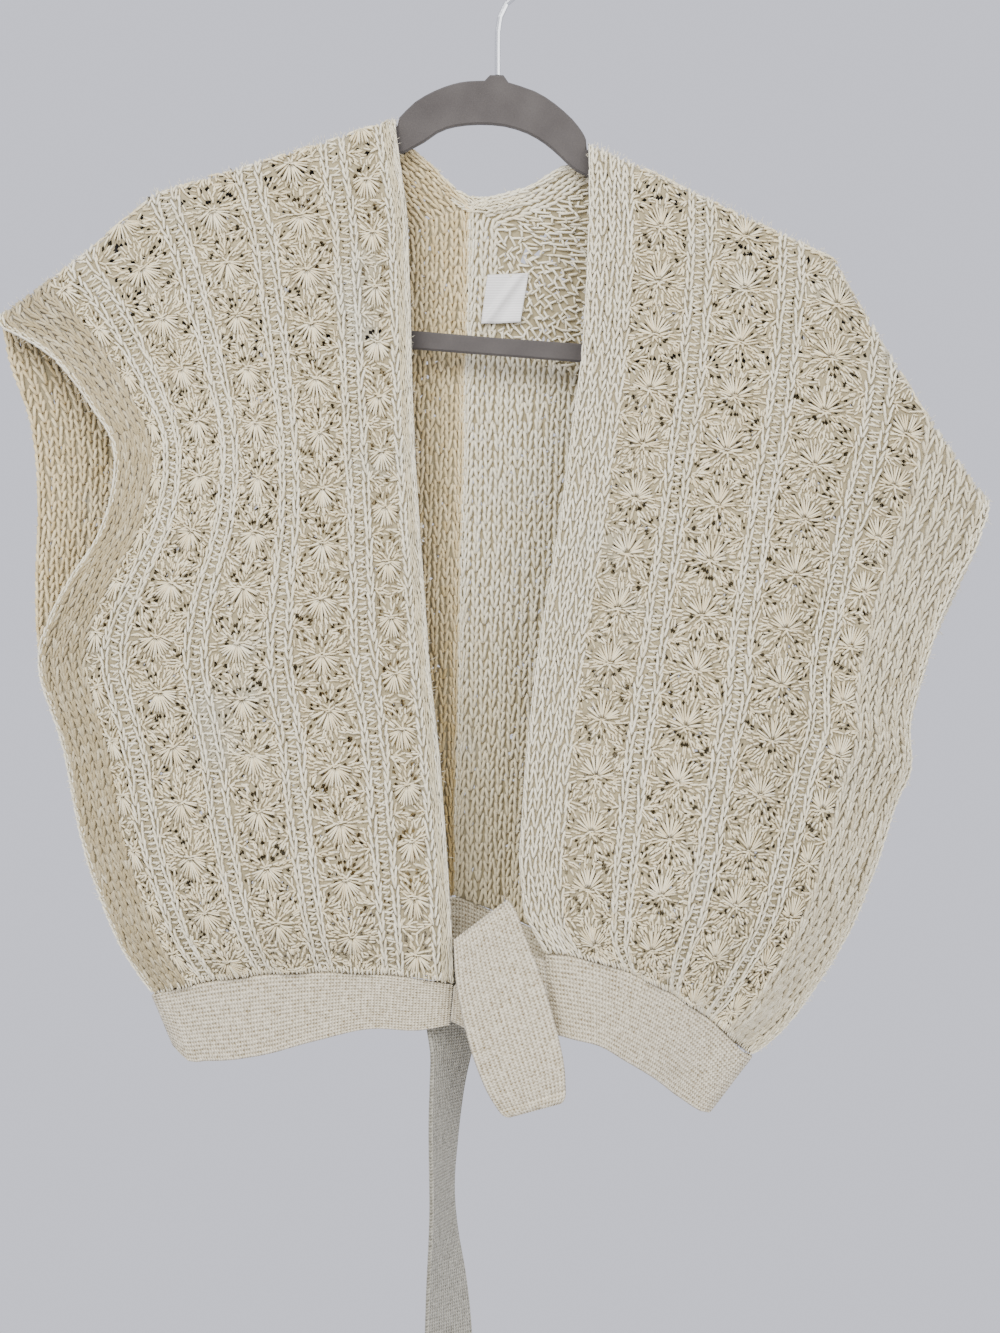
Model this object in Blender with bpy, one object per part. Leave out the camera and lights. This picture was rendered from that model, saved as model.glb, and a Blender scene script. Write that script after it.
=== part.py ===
"""Open-front knitted vest with a tied waistband, hung on a slim hanger.

Metres, +Z up, the front faces -Y and the wearer's left is at +X. The origin is the seat of the
hook, the inner top of its bend, and everything hangs below it. Sizes in the tables are
millimetres in the same frame.
"""

import math
from typing import NamedTuple

import bmesh
import bpy
from mathutils import Vector

MM = 0.001

# Cloth
WALL = 2.0
GAP = 0.3
WALE_LIFT = 1.3
STAR_LIFT = 0.5
EDGE_LIFT = 0.2
LADDER_LIFT = 0.1
WALE_FOOT = 2.6
PAIR_SPREAD = 11.0
PAIR_FOOT = 3.0
PANEL_WIDTH = 236.0
GATHER_DEPTH = 2.4
GATHER_REACH = 110.0
GATHER_MARGIN = 20.0
FOLD_RADIUS = 6.5
FOLD_TURNS = (-90, -50, -18, 18, 50, 90)
LONGEST_STEP = 42.0
FOLD_SLACK = 1.7

# Waistband and ties, a jersey strip folded double
BAND_THICK = 3.0
BAND_CLEARANCE = GAP + 0.4
STRIP_SHARES = (0.04, 0.27, 0.5, 0.73, 0.96)
# How far a strip's faces and narrow edges stand from its middle, as shares of its thickness
STRIP_FACE = 0.5
STRIP_EDGE = 0.3

# Hanger
HANGER_THICK = 5.0
HANGER_EDGE = 1.0
WIRE_RADIUS = 1.75
HOOK_INNER = 18.0
STEM_X = -6.8
COLLAR_TOP = -84.9
STEM_BEND = [(-6.7, -59.0), (-5.4, -50.0), (-1.6, -42.0), (5.4, -35.9)]
HOOK_DEGREES = range(-36, 201, 12)


class Section(NamedTuple):
    """One course of a half panel, from its inner edge to its outer edge."""

    inner_x: float
    inner_z: float
    inner_y: float
    outer_x: float
    outer_z: float
    outer_y: float
    rise: float
    corner: float
    belly: float


class Shoulder(NamedTuple):
    """The line along which a half panel hangs over the hanger's arm."""

    inner_x: float
    inner_z: float
    outer_x: float
    outer_z: float
    rise: float


class Column(NamedTuple):
    """A line of stitches down a half panel: its distance from the inner edge, and its lift."""

    at: float
    lift: float


class Stitches(NamedTuple):
    """Where the lines of stitches run down a half panel, as distances from its inner edge."""

    edge_wales: list
    stars: list
    pairs: list
    armhole_wales: list
    repeat: float


class Drape(NamedTuple):
    """A soft trough or ridge that runs down a half panel."""

    at: float
    width: float
    depth: float
    top_z: float
    low_z: float


class BandSection(NamedTuple):
    """A station on the waistband: where it hangs from the hem, and how it drops."""

    along: float
    drop_x: float
    drop_z: float
    drop_y: float


class Strip(NamedTuple):
    """A cross line of a tie, from its left edge to its right edge."""

    left_x: float
    left_z: float
    left_y: float
    right_x: float
    right_z: float
    right_y: float


class Turn(NamedTuple):
    """A cross line of the long tie: its middle, and how far it is turned about the vertical."""

    x: float
    y: float
    z: float
    degrees: float
    width: float


STRAIGHT_FIELDS = [Section._fields.index(name) for name in ("inner_x", "inner_z", "inner_y", "outer_y")]

# Wearer's right half: the front from hem to shoulder, then the back from neck to hem.
# Columns: inner x z y, outer x z y, rise, corner, belly
RIGHT_FRONT = [
    Section(-33, -625, -38, -213, -635, -1.2, 11, 0.0, -12),
    Section(-34, -594, -38, -234, -602, -1.2, 6, 0.0, -26),
    Section(-37, -547, -35, -254, -547, -1.2, 4, 0.0, -31),
    Section(-41, -495, -31, -266, -488, -1.2, 2, 0.0, -30),
    Section(-47, -442, -27, -281, -437, -1.2, 2, 0.0, -27),
    Section(-50, -400, -25, -267, -398, -12, 2, 0.2, -20),
    Section(-53, -359, -23, -241, -357, -19, 4, 0.4, -13),
    Section(-56, -314, -20, -233, -314, -22, 7, 0.6, -8),
    Section(-58, -269, -17, -247, -286, -18, 12, 0.8, -6),
    Section(-59, -222, -14, -268, -259, -13, 17, 1.0, -4),
    Section(-61, -170, -10, -287, -245, -9, 22, 1.0, -3),
]
RIGHT_SHOULDER = Shoulder(-68, -113, -304, -230, 27)
RIGHT_BACK = [
    Section(-45, -138, 11, -300, -259, 9, 23, 1.0, 4),
    Section(-31, -153, 15, -291, -283, 11, 18, 0.8, 5),
    Section(-24, -159, 17, -286, -309, 12, 13, 0.6, 6),
    Section(-25, -217, 18, -284, -347, 12, 10, 0.4, 6),
    Section(-27, -272, 19, -285, -393, 9, 6, 0.2, 8),
    Section(-28, -332, 19, -281, -437, 1.2, 4, 0.0, 14),
    Section(-30, -399, 18, -266, -488, 1.2, 4, 0.0, 15),
    Section(-31, -466, 17, -254, -547, 1.2, 4, 0.0, 15),
    Section(-33, -532, 15, -234, -602, 1.2, 5, 0.0, 12),
    Section(-33, -578, 14, -213, -635, 1.2, 7, 0.0, 6),
]

# Wearer's left half, whose side hangs lower because the hanger is rolled
LEFT_FRONT = [
    Section(21, -607, -40, 145, -672, -1.2, 15, 0.0, -12),
    Section(9, -585, -39, 168, -651, -1.2, 9, 0.0, -22),
    Section(6, -553, -37, 200, -603, -1.2, 4, 0.0, -30),
    Section(10, -494, -33, 218, -561, -1.2, 4, 0.0, -30),
    Section(15, -447, -30, 231, -521, -1.2, 5, 0.0, -28),
    Section(19, -419, -28, 240, -500, -3, 6, 0.0, -26),
    Section(25, -385, -26, 238, -473, -12, 10, 0.2, -21),
    Section(31, -347, -24, 245, -445, -15, 16, 0.3, -16),
    Section(37, -302, -20, 255, -413, -17, 24, 0.5, -12),
    Section(43, -258, -17, 266, -389, -16, 35, 0.7, -9),
    Section(46, -216, -14, 275, -374, -13, 46, 0.9, -6),
    Section(48, -170, -10, 282, -358, -9, 57, 1.0, -4),
]
LEFT_SHOULDER = Shoulder(48, -127, 286, -341, 62)
LEFT_BACK = [
    Section(31, -138, 11, 282, -366, 9, 60, 1.0, 4),
    Section(10, -150, 15, 271, -392, 11, 48, 0.9, 5),
    Section(-14, -156, 17, 258, -420, 12, 36, 0.8, 6),
    Section(-24, -159, 17, 252, -438, 12, 30, 0.7, 6),
    Section(-25, -217, 18, 245, -461, 10, 21, 0.5, 7),
    Section(-27, -272, 19, 239, -484, 6, 14, 0.3, 9),
    Section(-28, -332, 19, 238, -505, 1.2, 8, 0.1, 12),
    Section(-30, -399, 18, 232, -521, 1.2, 5, 0.0, 15),
    Section(-31, -466, 17, 218, -561, 1.2, 4, 0.0, 15),
    Section(-33, -532, 15, 200, -603, 1.2, 4, 0.0, 13),
    Section(-33, -578, 14, 145, -672, 1.2, 7, 0.0, 6),
]

# Single wales along both edges, columns of stars, and pairs of wales between them
RIGHT_STITCHES = Stitches(
    [4.0], [18.5, 62.5, 112.5, 162.5], [37.5, 87.5, 137.5, 187.5],
    [208.0, 214.0, 220.0, 226.0, 232.0], 50.0,
)
LEFT_STITCHES = Stitches(
    [3.2, 8.4, 13.6, 18.8, 24.0], [42.0, 93.0, 147.0], [66.0, 120.0, 174.0],
    [201.0, 207.2, 213.4, 219.6, 225.8, 232.0], 54.0,
)

# Where the arms of the hanger end under a shoulder, as a share of the shoulder line
SHOULDER_PEAK = 0.61
SHOULDER_FALL = 1.3

# Soft folds: distance from the inner edge, half width, depth, from z, to z
RIGHT_DRAPES = [
    Drape(150, 16, -3.0, -330, -560),
    Drape(196, 14, 3.0, -400, -600),
]
LEFT_DRAPES = [
    Drape(172, 15, -7.0, -320, -560),
    Drape(120, 18, 3.0, -420, -620),
]

# Waistband: share of the hem line, then the drop to the band's lower edge
RIGHT_FRONT_BAND = [
    BandSection(0.0, -2, -24, 0),
    BandSection(0.1, -2, -30, 0),
    BandSection(0.25, -2, -32, 1),
    BandSection(0.45, -1, -41, 3),
    BandSection(0.65, 2, -48, 4),
    BandSection(0.85, 7, -46, 2),
    BandSection(0.95, 10, -41, 1),
]
RIGHT_SIDE_DROP = BandSection(1.0, 13, -31, 0)
BACK_BAND_DROP = BandSection(0.5, 0, -45, -2)
LEFT_SIDE_DROP = BandSection(1.0, -26, -34, 0)
LEFT_FRONT_BAND = [
    BandSection(0.85, -25, -41, 2),
    BandSection(0.65, -16, -47, 4),
    BandSection(0.45, -8, -50, 3),
    BandSection(0.25, 0, -49, 1),
    BandSection(0.1, 4, -49, 0),
    BandSection(0.0, 5, -47, 0),
]
BAND_SIDE_TURN = 2.4
BACK_BAND_STEPS = 8

# Short tie: up from behind the knot, over its slanted fold and down the front
SHORT_TIE = [
    Strip(-27, -643, -44.0, 10, -632, -44.0),
    Strip(-30, -617, -44.0, 5, -599, -44.0),
    Strip(-31, -604, -45.5, 1, -580, -45.5),
    Strip(-32, -600, -48.5, 0, -576, -48.5),
    Strip(-32, -606, -51.5, 3, -580, -51.5),
    Strip(-31, -622, -53.0, 9, -595, -53.5),
    Strip(-27, -644, -54.0, 18, -618, -55.0),
    Strip(-20, -669, -55.0, 27, -648, -56.5),
    Strip(-12, -688, -55.0, 32, -672, -56.5),
    Strip(-3, -702, -54.0, 33, -692, -55.0),
]

# The turn of cloth under the short tie, from band end to band end
KNOT = [
    Strip(-34.4, -647, -38.6, -32.6, -627, -38.6),
    Strip(-22, -653, -38.6, -22, -615, -38.6),
    Strip(-8, -652, -38.6, -8, -603, -38.6),
    Strip(6, -654, -38.6, 6, -606, -38.6),
    Strip(25.4, -653, -38.6, 21.0, -611, -38.6),
]
KNOT_THICK = 7.2

# Long tie: behind the knot, under the left end of the band, then free, turning as it falls
LONG_TIE = [
    Turn(-20, -33.2, -604, 0, 34),
    Turn(-24, -33.2, -622, 0, 38),
    Turn(-29, -28.5, -637, 12, 40),
    Turn(-31.5, -24.5, -647, 26, 40),
    Turn(-32.5, -21.0, -656, 40, 40),
    Turn(-33.5, -20.0, -665, 51, 40),
    Turn(-36, -21.0, -684, 60, 40),
    Turn(-38, -22.0, -706, 65, 40),
    Turn(-39, -23.0, -727, 69, 40),
    Turn(-39.5, -23.5, -741, 71.5, 40),
    Turn(-39.5, -24.0, -755, 72, 40),
    Turn(-38.8, -25.0, -775, 68, 40),
    Turn(-37.2, -25.5, -800, 58, 40),
    Turn(-36, -26.0, -828, 50, 40),
    Turn(-35.5, -26.0, -866, 45, 40),
    Turn(-35, -26.0, -905, 42, 40),
]

# Blank label inside the back neck, right of the centre seam: corner x and z, from the top left
LABEL_CORNERS = ((-13, -202), (12, -201), (7, -231), (-17, -232))
LABEL_THICK = 1.0
LABEL_STEPS = 4

# Outline of the hanger between the shoulders and round its tips: x, z
ARCH_TOP = [
    (-65.8, -110.4), (-56.2, -100.9), (-44.6, -94.3), (-33.8, -90.3), (-24.9, -88.6), (-14.6, -88.2),
]
COLLAR = [(-12.9, -86.4), (-11.4, COLLAR_TOP), (-3.4, COLLAR_TOP), (-2.0, -86.8)]
ARCH_TOP_LEFT = [
    (-0.4, -89.2), (15.4, -94.5), (27.1, -101.7), (37.8, -111.1), (44.1, -119.2), (46.2, -123.6),
]
LEFT_TIP = [(205, -226), (210, -236), (211, -247), (202, -256.5), (175, -259)]
BAR_UNDER = [(115, -259), (44, -257), (-59, -249), (-127, -242), (-169, -240.5), (-212, -231)]
RIGHT_TIP = [(-231, -220), (-240, -208), (-241.5, -196)]
ARM_HOLE = [
    (-62, -131), (-43, -119.4), (-32, -115.6), (-17.7, -114.3), (-2.5, -115.4), (11, -119.6),
    (21.7, -125.9), (30.6, -133.5), (39.5, -141.8), (50, -147), (67, -156), (98, -172),
    (131, -188), (168, -203), (186, -215), (196, -231), (192, -245), (174, -248), (114, -247),
    (44, -246), (-59, -238), (-127, -230), (-169, -228), (-206, -217), (-221, -200), (-206, -179),
    (-161, -159), (-101, -140.5),
]
RIGHT_ARM_END = 0.72
LEFT_ARM_END = 0.64
ARM_STEPS = 9

# Colours, linear
CREAM = (0.72, 0.66, 0.50, 1.0)
JERSEY = (0.74, 0.69, 0.56, 1.0)
SATIN_WHITE = (0.85, 0.84, 0.80, 1.0)
TAUPE = (0.20, 0.18, 0.165, 1.0)
STEEL = (0.75, 0.75, 0.77, 1.0)


def clear_scene():
    """Remove everything that the file opened with."""
    for thing in list(bpy.data.objects):
        bpy.data.objects.remove(thing, do_unlink=True)


def make_collection(name):
    """Add a collection to the scene."""
    collection = bpy.data.collections.new(name)
    bpy.context.scene.collection.children.link(collection)
    return collection


def make_material(name, colour, roughness, metallic=0.0):
    """Make a plain Principled material."""
    material = bpy.data.materials.new(name)
    material.use_nodes = True
    shader = material.node_tree.nodes["Principled BSDF"]
    shader.inputs["Base Color"].default_value = colour
    shader.inputs["Roughness"].default_value = roughness
    shader.inputs["Metallic"].default_value = metallic
    return material


def blend(low, high, share):
    """Value between two, by share."""
    return low + (high - low) * share


def smooth_step(share):
    """Ease from 0 to 1."""
    share = min(max(share, 0.0), 1.0)
    return share * share * (3.0 - 2.0 * share)


def spline_value(before, start, end, after, share):
    """Catmull-Rom value between start and end."""
    square = share * share
    cube = square * share
    return 0.5 * (
        2.0 * start
        + (end - before) * share
        + (2.0 * before - 5.0 * start + 4.0 * end - after) * square
        + (3.0 * start - before - 3.0 * end + after) * cube
    )


def round_outline(points, steps):
    """Smooth a closed list of x, z points with steps between neighbours."""
    count = len(points)
    result = []
    for index in range(count):
        ring = [points[(index + shift) % count] for shift in (-1, 0, 1, 2)]
        for step in range(steps):
            share = step / steps
            result.append(tuple(spline_value(*[p[axis] for p in ring], share) for axis in (0, 1)))
    return result


def round_line(points, steps):
    """Smooth an open list of x, z points with steps between neighbours."""
    ends = [points[0]] + points + [points[-1]]
    result = []
    for index in range(len(points) - 1):
        run = ends[index:index + 4]
        for step in range(steps):
            share = step / steps
            result.append(tuple(spline_value(*[p[axis] for p in run], share) for axis in (0, 1)))
    return result + [points[-1]]


def tent(along):
    """Height of a course that bends where the arm of the hanger ends, 0 to 1."""
    if along < SHOULDER_PEAK:
        return along / SHOULDER_PEAK
    return ((1.0 - along) / (1.0 - SHOULDER_PEAK)) ** SHOULDER_FALL


def bow(along):
    """An even bow, 0 at both edges and 1 in the middle."""
    return 4.0 * along * (1.0 - along)


def shoulder_point(shoulder, along, radius=0.0, turn=0.0):
    """Point of the cloth over the shoulder line, turned about it from front to back."""
    angle = math.radians(turn)
    top = blend(shoulder.inner_z, shoulder.outer_z, along) + shoulder.rise * tent(along)
    x = blend(shoulder.inner_x, shoulder.outer_x, along)
    return Vector((x, radius * math.sin(angle), top - radius * (1.0 - math.cos(angle))))


def fold_sections(shoulder):
    """Courses that carry the cloth over the arm, as sections like those of the tables."""
    sections = []
    for turn in FOLD_TURNS:
        inner = shoulder_point(shoulder, 0.0, FOLD_RADIUS, turn)
        outer = shoulder_point(shoulder, 1.0, FOLD_RADIUS, turn)
        sections.append(
            Section(inner.x, inner.z, inner.y, outer.x, outer.z, outer.y, shoulder.rise, 1.0, 0.0)
        )
    return sections


def between(rows, index, share):
    """Section between two rows; edges that meet a seam run straight, the rest is smooth."""
    last = len(rows) - 1
    ring = [rows[min(max(index + shift, 0), last)] for shift in (-1, 0, 1, 2)]
    values = []
    for field in range(len(Section._fields)):
        if field in STRAIGHT_FIELDS:
            values.append(blend(ring[1][field], ring[2][field], share))
        else:
            values.append(spline_value(*[row[field] for row in ring], share))
    return Section(*values)


def add_courses(rows):
    """Fill long steps between rows with sections in between."""
    result = []
    for index in range(len(rows) - 1):
        here = rows[index]
        there = rows[index + 1]
        reach = max(
            math.dist(here[0:3], there[0:3]),
            math.dist(here[3:6], there[3:6]),
        )
        count = max(1, math.ceil(reach / LONGEST_STEP))
        result += [between(rows, index, step / count) for step in range(count)]
    result.append(rows[-1])
    return result


def seam_shift(rows, shift):
    """Move the inner edge of the back rows sideways, to leave half of the seam's gap."""
    return [row._replace(inner_x=row.inner_x + shift) for row in rows]


def section_point(section, along):
    """Point of a course at a share of its length, without drapes."""
    lift = blend(bow(along), tent(along), section.corner)
    return Vector((
        blend(section.inner_x, section.outer_x, along),
        blend(section.inner_y, section.outer_y, along) + section.belly * bow(along),
        blend(section.inner_z, section.outer_z, along) + section.rise * lift,
    ))


def column_share(section, at):
    """Share of a course where a column lies: even near the inner edge, squeezed outwards."""
    width = abs(section.outer_x - section.inner_x)
    share = at / PANEL_WIDTH
    return share + (PANEL_WIDTH / width - 1.0) * share * (1.0 - share) ** 2


def drape_depth(drapes, at, z):
    """How far the soft folds push the cloth outwards at a place."""
    depth = 0.0
    for drape in drapes:
        across = math.exp(-(((at - drape.at) / drape.width) ** 2))
        middle = (drape.top_z + drape.low_z) / 2.0
        half = (drape.top_z - drape.low_z) / 2.0
        down = max(0.0, 1.0 - ((z - middle) / half) ** 2)
        depth += drape.depth * across * down
    return depth


def gather_depth(at, stitches, distance):
    """The flutes above the waistband: star columns stand out and pairs of wales lie in."""
    fade = smooth_step(1.0 - distance / GATHER_REACH)
    edge = smooth_step(at / GATHER_MARGIN) * smooth_step((PANEL_WIDTH - at) / GATHER_MARGIN)
    turn = 2.0 * math.pi * (at - stitches.stars[1]) / stitches.repeat
    return GATHER_DEPTH * fade * edge * math.cos(turn)


def wale(at):
    """One raised wale, with the foot line before it."""
    return [Column(at - WALE_FOOT, 0.0), Column(at, WALE_LIFT)]


def wale_pair(at):
    """Two raised wales with a ladder between them."""
    reach = PAIR_SPREAD / 2.0
    return [
        Column(at - reach - PAIR_FOOT, 0.0),
        Column(at - reach, WALE_LIFT),
        Column(at, LADDER_LIFT),
        Column(at + reach, WALE_LIFT),
        Column(at + reach + PAIR_FOOT, 0.0),
    ]


def panel_columns(stitches):
    """Columns of a half panel from its inner edge outwards, by their distance from it."""
    columns = [Column(0.0, EDGE_LIFT), Column(PANEL_WIDTH, EDGE_LIFT)]
    for at in stitches.edge_wales + stitches.armhole_wales:
        columns += wale(at)
    columns.append(Column(stitches.edge_wales[-1] + WALE_FOOT, 0.0))
    columns += [Column(at, STAR_LIFT) for at in stitches.stars]
    for at in stitches.pairs:
        columns += wale_pair(at)
    return sorted(column for column in columns if column.at == 0.0 or column.at > WALE_FOOT / 2.0)


def mesh_object(name, points, faces, material, collection):
    """Make an object of one closed mesh, with its points in millimetres."""
    mesh = bpy.data.meshes.new(name)
    mesh.from_pydata([point * MM for point in points], [], faces)
    shell = bmesh.new()
    shell.from_mesh(mesh)
    bmesh.ops.recalc_face_normals(shell, faces=shell.faces)
    shell.to_mesh(mesh)
    shell.free()
    mesh.materials.append(material)
    mesh.shade_smooth()
    mesh.set_sharp_from_angle(angle=math.radians(50))
    thing = bpy.data.objects.new(name, mesh)
    collection.objects.link(thing)
    return thing


def wall_faces(rows, columns):
    """Faces of a wall whose outer grid comes first and whose inner grid follows."""
    faces = []
    layer = rows * columns
    for row in range(rows - 1):
        for column in range(columns - 1):
            here = row * columns + column
            quad = (here, here + 1, here + columns + 1, here + columns)
            faces.append(quad)
            faces.append(tuple(index + layer for index in reversed(quad)))
    rim = [column for column in range(columns)]
    rim += [row * columns + columns - 1 for row in range(1, rows)]
    rim += [(rows - 1) * columns + column for column in range(columns - 2, -1, -1)]
    rim += [row * columns for row in range(rows - 2, 0, -1)]
    for index, here in enumerate(rim):
        there = rim[(index + 1) % len(rim)]
        faces.append((there, here, here + layer, there + layer))
    return faces


def grid_normals(grid, side):
    """Outward normals of a grid of points, side being +1 or -1, square to the edges at seams."""
    rows = len(grid)
    columns = len(grid[0])
    normals = []
    for row in range(rows):
        line = []
        for column in range(columns):
            across = grid[row][min(column + 1, columns - 1)] - grid[row][max(column - 1, 0)]
            along = grid[min(row + 1, rows - 1)][column] - grid[max(row - 1, 0)][column]
            normal = across.cross(along)
            if column == 0:
                normal.x = 0.0
            if row in (0, rows - 1):
                normal.z = 0.0
            line.append(normal.normalized() * side)
        normals.append(line)
    return normals


def wall_object(name, grid, side, lifts, thick, material, collection):
    """A wall on a grid of middle points, with its outer points raised by column."""
    normals = grid_normals(grid, side)
    outer = []
    inner = []
    for row, line in enumerate(grid):
        for column, point in enumerate(line):
            normal = normals[row][column]
            outer.append(point + normal * (thick / 2.0 + lifts[column]))
            inner.append(point - normal * (thick / 2.0))
    faces = wall_faces(len(grid), len(grid[0]))
    return mesh_object(name, outer + inner, faces, material, collection)


class Half(NamedTuple):
    """All that shapes one half panel."""

    name: str
    sections: list
    stitches: Stitches
    drapes: list
    side: int


def make_half(name, front, shoulder, back, stitches, drapes, side):
    """Gather one half panel's tables into its sections, side being +1 for the wearer's left."""
    rows = front + fold_sections(shoulder) + seam_shift(back, side * GAP / 2.0)
    return Half(name, add_courses(rows), stitches, drapes, side)


def hem_distance(section, sections):
    """How far a course is above the nearer hem, along its middle."""
    middle = section_point(section, 0.5)
    ends = (section_point(sections[0], 0.5), section_point(sections[-1], 0.5))
    return min((middle - end).length for end in ends)


def half_grid(half, columns):
    """Middle points of a half panel, course by course."""
    grid = []
    for section in half.sections:
        outwards = -1.0 if section.inner_y < 0.0 else 1.0
        distance = hem_distance(section, half.sections)
        line = []
        for column in columns:
            point = section_point(section, column_share(section, column.at))
            push = drape_depth(half.drapes, column.at, point.z) if outwards < 0.0 else 0.0
            push += gather_depth(column.at, half.stitches, distance)
            point.y += outwards * push
            line.append(point)
        grid.append(line)
    return grid


def build_half(half, material, collection):
    """Front and back of one side in one piece, over the shoulder."""
    columns = panel_columns(half.stitches)
    lifts = [column.lift for column in columns]
    grid = half_grid(half, columns)
    return wall_object(half.name, grid, half.side, lifts, WALL, material, collection)


def loft_strip(name, lines, thick, material, collection):
    """A strip with rounded long edges through cross lines of (edge, edge, outward) points."""
    profile = [(share, STRIP_FACE) for share in STRIP_SHARES]
    profile += [(1.0, STRIP_EDGE), (1.0, -STRIP_EDGE)]
    profile += [(share, -STRIP_FACE) for share in reversed(STRIP_SHARES)]
    profile += [(0.0, -STRIP_EDGE), (0.0, STRIP_EDGE)]
    points = []
    for start, end, outward in lines:
        points += [start.lerp(end, share) + outward * (thick * side) for share, side in profile]
    size = len(profile)
    faces = []
    for row in range(len(lines) - 1):
        for index in range(size):
            here = row * size + index
            there = row * size + (index + 1) % size
            faces.append((here, there, there + size, here + size))
    faces.append(tuple(reversed(range(size))))
    last = (len(lines) - 1) * size
    faces.append(tuple(range(last, last + size)))
    return mesh_object(name, points, faces, material, collection)


def strip_lines(middles):
    """Cross lines with outward normals from pairs of edge points along a strip."""
    lines = []
    last = len(middles) - 1
    for index, (start, end) in enumerate(middles):
        before = middles[max(index - 1, 0)]
        after = middles[min(index + 1, last)]
        along = (after[0] + after[1]) - (before[0] + before[1])
        outward = (end - start).cross(along).normalized()
        lines.append((start, end, outward))
    return lines


def band_station(half, end, along, drop):
    """Upper and lower middle points of the waistband under a hem, a gap below it."""
    section = half.sections[end]
    top = section_point(section, along) - Vector((0.0, 0.0, BAND_CLEARANCE))
    low = top + Vector((drop.drop_x, drop.drop_y, drop.drop_z))
    return (low, top)


def side_turn(half, drop, outwards):
    """Two stations that carry the band round the side, from front to back."""
    front_low, front_top = band_station(half, 0, 1.0, drop)
    stations = []
    for depth, push in ((-BAND_SIDE_TURN, 0.0), (0.0, BAND_SIDE_TURN), (BAND_SIDE_TURN, 0.0)):
        move = Vector((outwards * push, 0.0, 0.0))
        top = Vector((front_top.x, depth, front_top.z)) + move
        low = Vector((front_low.x, depth, front_low.z)) + move
        stations.append((low, top))
    return stations


def back_drop(along, side_drop):
    """Drop of the band across the back, from the side's to the middle's."""
    share = smooth_step(along)
    return BandSection(
        along,
        blend(BACK_BAND_DROP.drop_x, side_drop.drop_x, share),
        blend(BACK_BAND_DROP.drop_z, side_drop.drop_z, share),
        blend(BACK_BAND_DROP.drop_y, side_drop.drop_y, share),
    )


def build_waistband(right, left, material, collection):
    """Folded strip from the right front's edge, round the back, to the left front's edge."""
    stations = [band_station(right, 0, drop.along, drop) for drop in RIGHT_FRONT_BAND]
    stations += side_turn(right, RIGHT_SIDE_DROP, -1.0)
    for step in range(1, BACK_BAND_STEPS):
        along = 1.0 - step / BACK_BAND_STEPS
        stations.append(band_station(right, -1, along, back_drop(along, RIGHT_SIDE_DROP)))
    for step in range(BACK_BAND_STEPS):
        along = step / BACK_BAND_STEPS
        stations.append(band_station(left, -1, along, back_drop(along, LEFT_SIDE_DROP)))
    stations += reversed(side_turn(left, LEFT_SIDE_DROP, 1.0))
    stations += [band_station(left, 0, drop.along, drop) for drop in LEFT_FRONT_BAND]
    lines = strip_lines(stations)
    return loft_strip("waistband", lines, BAND_THICK, material, collection)


def build_short_tie(material, collection):
    """The tie's short end, folded over the knot."""
    middles = []
    for row in SHORT_TIE:
        left = Vector((row.left_x, row.left_y, row.left_z))
        right = Vector((row.right_x, row.right_y, row.right_z))
        middles.append((left, right))
    return loft_strip("short_tie", strip_lines(middles), BAND_THICK, material, collection)


def build_knot(material, collection):
    """The wrapped turn of cloth behind the short tie."""
    middles = []
    for row in KNOT:
        low = Vector((row.left_x, row.left_y, row.left_z))
        high = Vector((row.right_x, row.right_y, row.right_z))
        middles.append((low, high))
    return loft_strip("tie_knot", strip_lines(middles), KNOT_THICK, material, collection)


def build_long_tie(material, collection):
    """The tie's long end, hanging free and turning as it falls."""
    lines = []
    for row in LONG_TIE:
        angle = math.radians(row.degrees)
        half = Vector((math.cos(angle), math.sin(angle), 0.0)) * (row.width / 2.0)
        outward = Vector((math.sin(angle), -math.cos(angle), 0.0))
        middle = Vector((row.x, row.y, row.z))
        lines.append((middle - half, middle + half, outward))
    return loft_strip("long_tie", lines, BAND_THICK, material, collection)


def back_point(half, x, z):
    """Point of a half panel's back at x and z, found between its courses."""
    courses = [section for section in half.sections if section.inner_y > FOLD_RADIUS]
    lower = None
    for section in courses:
        share = (x - section.inner_x) / (section.outer_x - section.inner_x)
        point = section_point(section, share)
        if point.z <= z:
            if lower is None:
                return Vector((x, point.y, z))
            part = (lower.z - z) / (lower.z - point.z)
            return Vector((x, blend(lower.y, point.y, part), z))
        lower = point
    return Vector((x, lower.y, z))


def build_label(half, material, collection):
    """A blank label that lies on the inside of the back."""
    top_left, top_right, low_right, low_left = [Vector(corner) for corner in LABEL_CORNERS]
    depth = WALL / 2.0 + GAP + LABEL_THICK / 2.0
    grid = []
    for row in range(LABEL_STEPS + 1):
        down = row / LABEL_STEPS
        line = []
        for column in range(LABEL_STEPS + 1):
            across = column / LABEL_STEPS
            top = top_left.lerp(top_right, across)
            low = low_left.lerp(low_right, across)
            place = top.lerp(low, down)
            point = back_point(half, place.x, place.y)
            point.y -= depth
            line.append(point)
        grid.append(line)
    lifts = [0.0] * (LABEL_STEPS + 1)
    return wall_object("neck_label", grid, 1, lifts, LABEL_THICK, material, collection)


def arm_edge(shoulder, end):
    """Upper edge of an arm, just under the cloth, from the neck outwards."""
    drop = WALL / 2.0 + GAP + FOLD_SLACK
    edge = []
    for step in range(ARM_STEPS + 1):
        along = end * step / ARM_STEPS
        point = shoulder_point(shoulder, along)
        ahead = shoulder_point(shoulder, along + 0.01)
        run = Vector((ahead.x - point.x, ahead.z - point.z)).normalized()
        sink = Vector((-abs(run.y) * math.copysign(1.0, run.x), -abs(run.x))) * drop
        edge.append((point.x + sink.x, point.z + sink.y))
    return edge


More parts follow.
